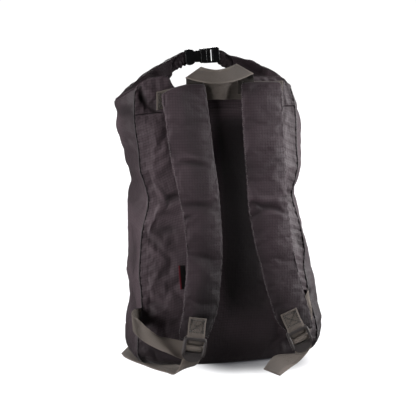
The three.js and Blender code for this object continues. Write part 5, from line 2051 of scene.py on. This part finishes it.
@dataclass
class Stitching:
    """Sewn lines, laid as single stitches along their paths."""

    shop: Workshop
    pitch: float
    length: float
    radius: float

    def build(self, name: str, lines: Sequence[Array], thread: ThreadFinish, slot: Slot) -> None:
        """Makes one piece of stitches.

        Args:
            name: The piece's name.
            lines: Paths of the seams, in millimetres.
            thread: Finish of the thread.
            slot: The record's slot that the stitched cloth has.
        """
        material = thread.material()
        points = np.vstack(lines) * MM
        ends = np.cumsum([len(line) for line in lines])
        edges = [(i, i + 1) for i in range(len(points) - 1) if i + 1 not in ends]
        paths = bpy.data.meshes.new(name + "_paths")
        paths.from_pydata(points.tolist(), edges, [])
        made = new_object(name + "_paths", paths)
        tree = self._tree()
        sewing = made.modifiers.new("sewing", "NODES")
        sewing.node_group = tree
        sizes = {"Pitch": self.pitch * MM, "Length": self.length * MM, "Radius": self.radius * MM,
                 "Thread": material}
        for socket in tree.interface.items_tree:
            if socket.in_out == "INPUT" and socket.name in sizes:
                sewing[socket.identifier] = sizes[socket.name]
        graph = bpy.context.evaluated_depsgraph_get()
        mesh = bpy.data.meshes.new_from_object(made.evaluated_get(graph), depsgraph=graph)
        mesh.name = name
        bpy.data.objects.remove(made)
        bpy.data.meshes.remove(paths)
        mesh.shade_smooth()
        self.shop.piece(name, mesh, material, slot)

    def _tree(self) -> bpy.types.GeometryNodeTree:
        """The node tree that lays stitches along the edges of a mesh."""
        tree = bpy.data.node_groups.new("stitch_line", "GeometryNodeTree")
        face = tree.interface
        face.new_socket("Geometry", in_out="INPUT", socket_type="NodeSocketGeometry")
        for size in ("Pitch", "Length", "Radius"):
            face.new_socket(size, in_out="INPUT", socket_type="NodeSocketFloat")
        face.new_socket("Thread", in_out="INPUT", socket_type="NodeSocketMaterial")
        face.new_socket("Geometry", in_out="OUTPUT", socket_type="NodeSocketGeometry")
        kinds = {
            "given": "NodeGroupInput", "curve": "GeometryNodeMeshToCurve",
            "spread": "GeometryNodeResampleCurve", "tangent": "GeometryNodeInputTangent",
            "turn": "FunctionNodeAlignRotationToVector",
            "bead": "GeometryNodeMeshIcoSphere", "size": "ShaderNodeCombineXYZ",
            "lay": "GeometryNodeInstanceOnPoints", "real": "GeometryNodeRealizeInstances",
            "dress": "GeometryNodeSetMaterial", "out": "NodeGroupOutput",
        }
        nodes = {key: tree.nodes.new(kind) for key, kind in kinds.items()}
        nodes["spread"].mode = "LENGTH"
        nodes["turn"].axis = "X"
        nodes["bead"].inputs["Radius"].default_value = 0.5
        links = (
            ("given", "Geometry", "curve", "Mesh"), ("curve", "Curve", "spread", "Curve"),
            ("given", "Pitch", "spread", "Length"), ("tangent", "Tangent", "turn", "Vector"),
            ("given", "Length", "size", "X"), ("given", "Radius", "size", "Y"),
            ("given", "Radius", "size", "Z"),
            ("spread", "Curve", "lay", "Points"), ("bead", "Mesh", "lay", "Instance"),
            ("turn", "Rotation", "lay", "Rotation"), ("size", "Vector", "lay", "Scale"),
            ("lay", "Instances", "real", "Geometry"), ("real", "Geometry", "dress", "Geometry"),
            ("given", "Thread", "dress", "Material"), ("dress", "Geometry", "out", "Geometry"),
        )
        for source, output, target, socket in links:
            tree.links.new(nodes[source].outputs[output], nodes[target].inputs[socket])
        return tree


@dataclass
class Studio:
    """Floor, light and camera."""

    view: PhotoView
    floor: FloorFinish = FloorFinish()
    floor_half: float = 6.0
    floor_drop: float = 0.0005
    backdrop_distance: float = 3.2
    backdrop_foot: float = 0.2
    backdrop_glow: float = 1.05
    world_strength: float = 0.035
    aim: Place = (0.0, 0.0, 0.22)
    lights: tuple[tuple[str, Place, float, float], ...] = (
        ("left_softbox", (-2.5, -0.85, 0.55), 1.7, 176.0),
        ("right_softbox", (2.5, -0.42, 0.7), 1.2, 198.0),
        ("top_softbox", (0.0, 0.9, 2.8), 2.6, 14.0),
        ("far_softbox", (0.72, 2.9, 1.0), 1.4, 55.0),
        ("front_softbox", (-0.6, -3.2, 1.6), 1.2, 3.0),
    )

    def build(self) -> None:
        """Sets up the stage."""
        self.view.camera()
        half = self.floor_half
        low = -self.floor_drop
        corners = [(-half, -half, low), (half, -half, low), (half, half, low), (-half, half, low)]
        self._plane("studio_floor", corners, self.floor.material())
        paint = Paint("bright_backdrop")
        paint.node_out(paint.node("ShaderNodeEmission", inputs={"Strength": self.backdrop_glow}))
        away = self.backdrop_distance
        foot = -self.backdrop_foot
        corners = [(-half, away, foot), (half, away, foot), (half, away, half), (-half, away, half)]
        self._plane("studio_backdrop", corners, paint.material)
        world = bpy.data.worlds.new("studio_world")
        world.use_nodes = True
        ground = world.node_tree.nodes["Background"]
        ground.inputs["Color"].default_value = (1.0, 1.0, 1.0, 1.0)
        ground.inputs["Strength"].default_value = self.world_strength
        bpy.context.scene.world = world
        bpy.context.scene.view_settings.view_transform = "Standard"
        for name, place, size, power in self.lights:
            data = bpy.data.lights.new(name, "AREA")
            data.size = size
            data.energy = power
            light = new_object(name, data)
            light.location = place
            light.rotation_mode = "QUATERNION"
            light.rotation_quaternion = (Vector(self.aim) - light.location).to_track_quat("-Z", "Y")

    @staticmethod
    def _plane(name: str, corners: Sequence[Place], material: Material) -> None:
        """Makes a stage object of one face, and keeps its brightness off the bag."""
        mesh = bpy.data.meshes.new(name)
        mesh.from_pydata(corners, [], [(0, 1, 2, 3)])
        mesh.materials.append(material)
        made = new_object(name, mesh)
        made.visible_diffuse = False
        made.visible_glossy = False


def main() -> None:
    """Builds the stage and every piece."""
    logging.basicConfig(level=logging.INFO, format="%(name)s: %(message)s")
    view = PhotoView()
    Studio(view).build()
    shop = Workshop()
    creases = Creases(FrameSurface(view))
    shell = ShellCloth(shop, creases)
    shell.build()
    RollTop(shop, creases).build(bpy.data.materials[shell.neck_finish().name])
    straps = StrapPads(shop, creases)
    straps.build()
    webbing = WebbingSet(shop)
    webbing.build()
    Mouldings(shop).build()
    trim = Trim(shop)
    trim.build()
    rims = [line for pair in straps.rims.values() for line in pair]
    threads = (
        ("strap_edge_stitches", rims, Slot.STRAP, (3.1, 2.3, 0.6), "grey_thread", (0.1, 0.088, 0.09)),
        ("webbing_stitches", webbing.seams, Slot.WEBBING, (2.9, 3.1, 1.25), "dark_thread",
         (0.006, 0.0048, 0.0045)),
        ("piping_stitches", trim.seam, Slot.PIPING, (5.2, 3.4, 1.25), "black_thread",
         (0.003, 0.0025, 0.0028)),
    )
    for name, lines, slot, sizes, thread, colour in threads:
        Stitching(shop, *sizes).build(name, lines, ThreadFinish(thread, colour), slot)
    LOG.info("%d pieces made", len(shop.made))


if __name__ == "__main__":
    main()
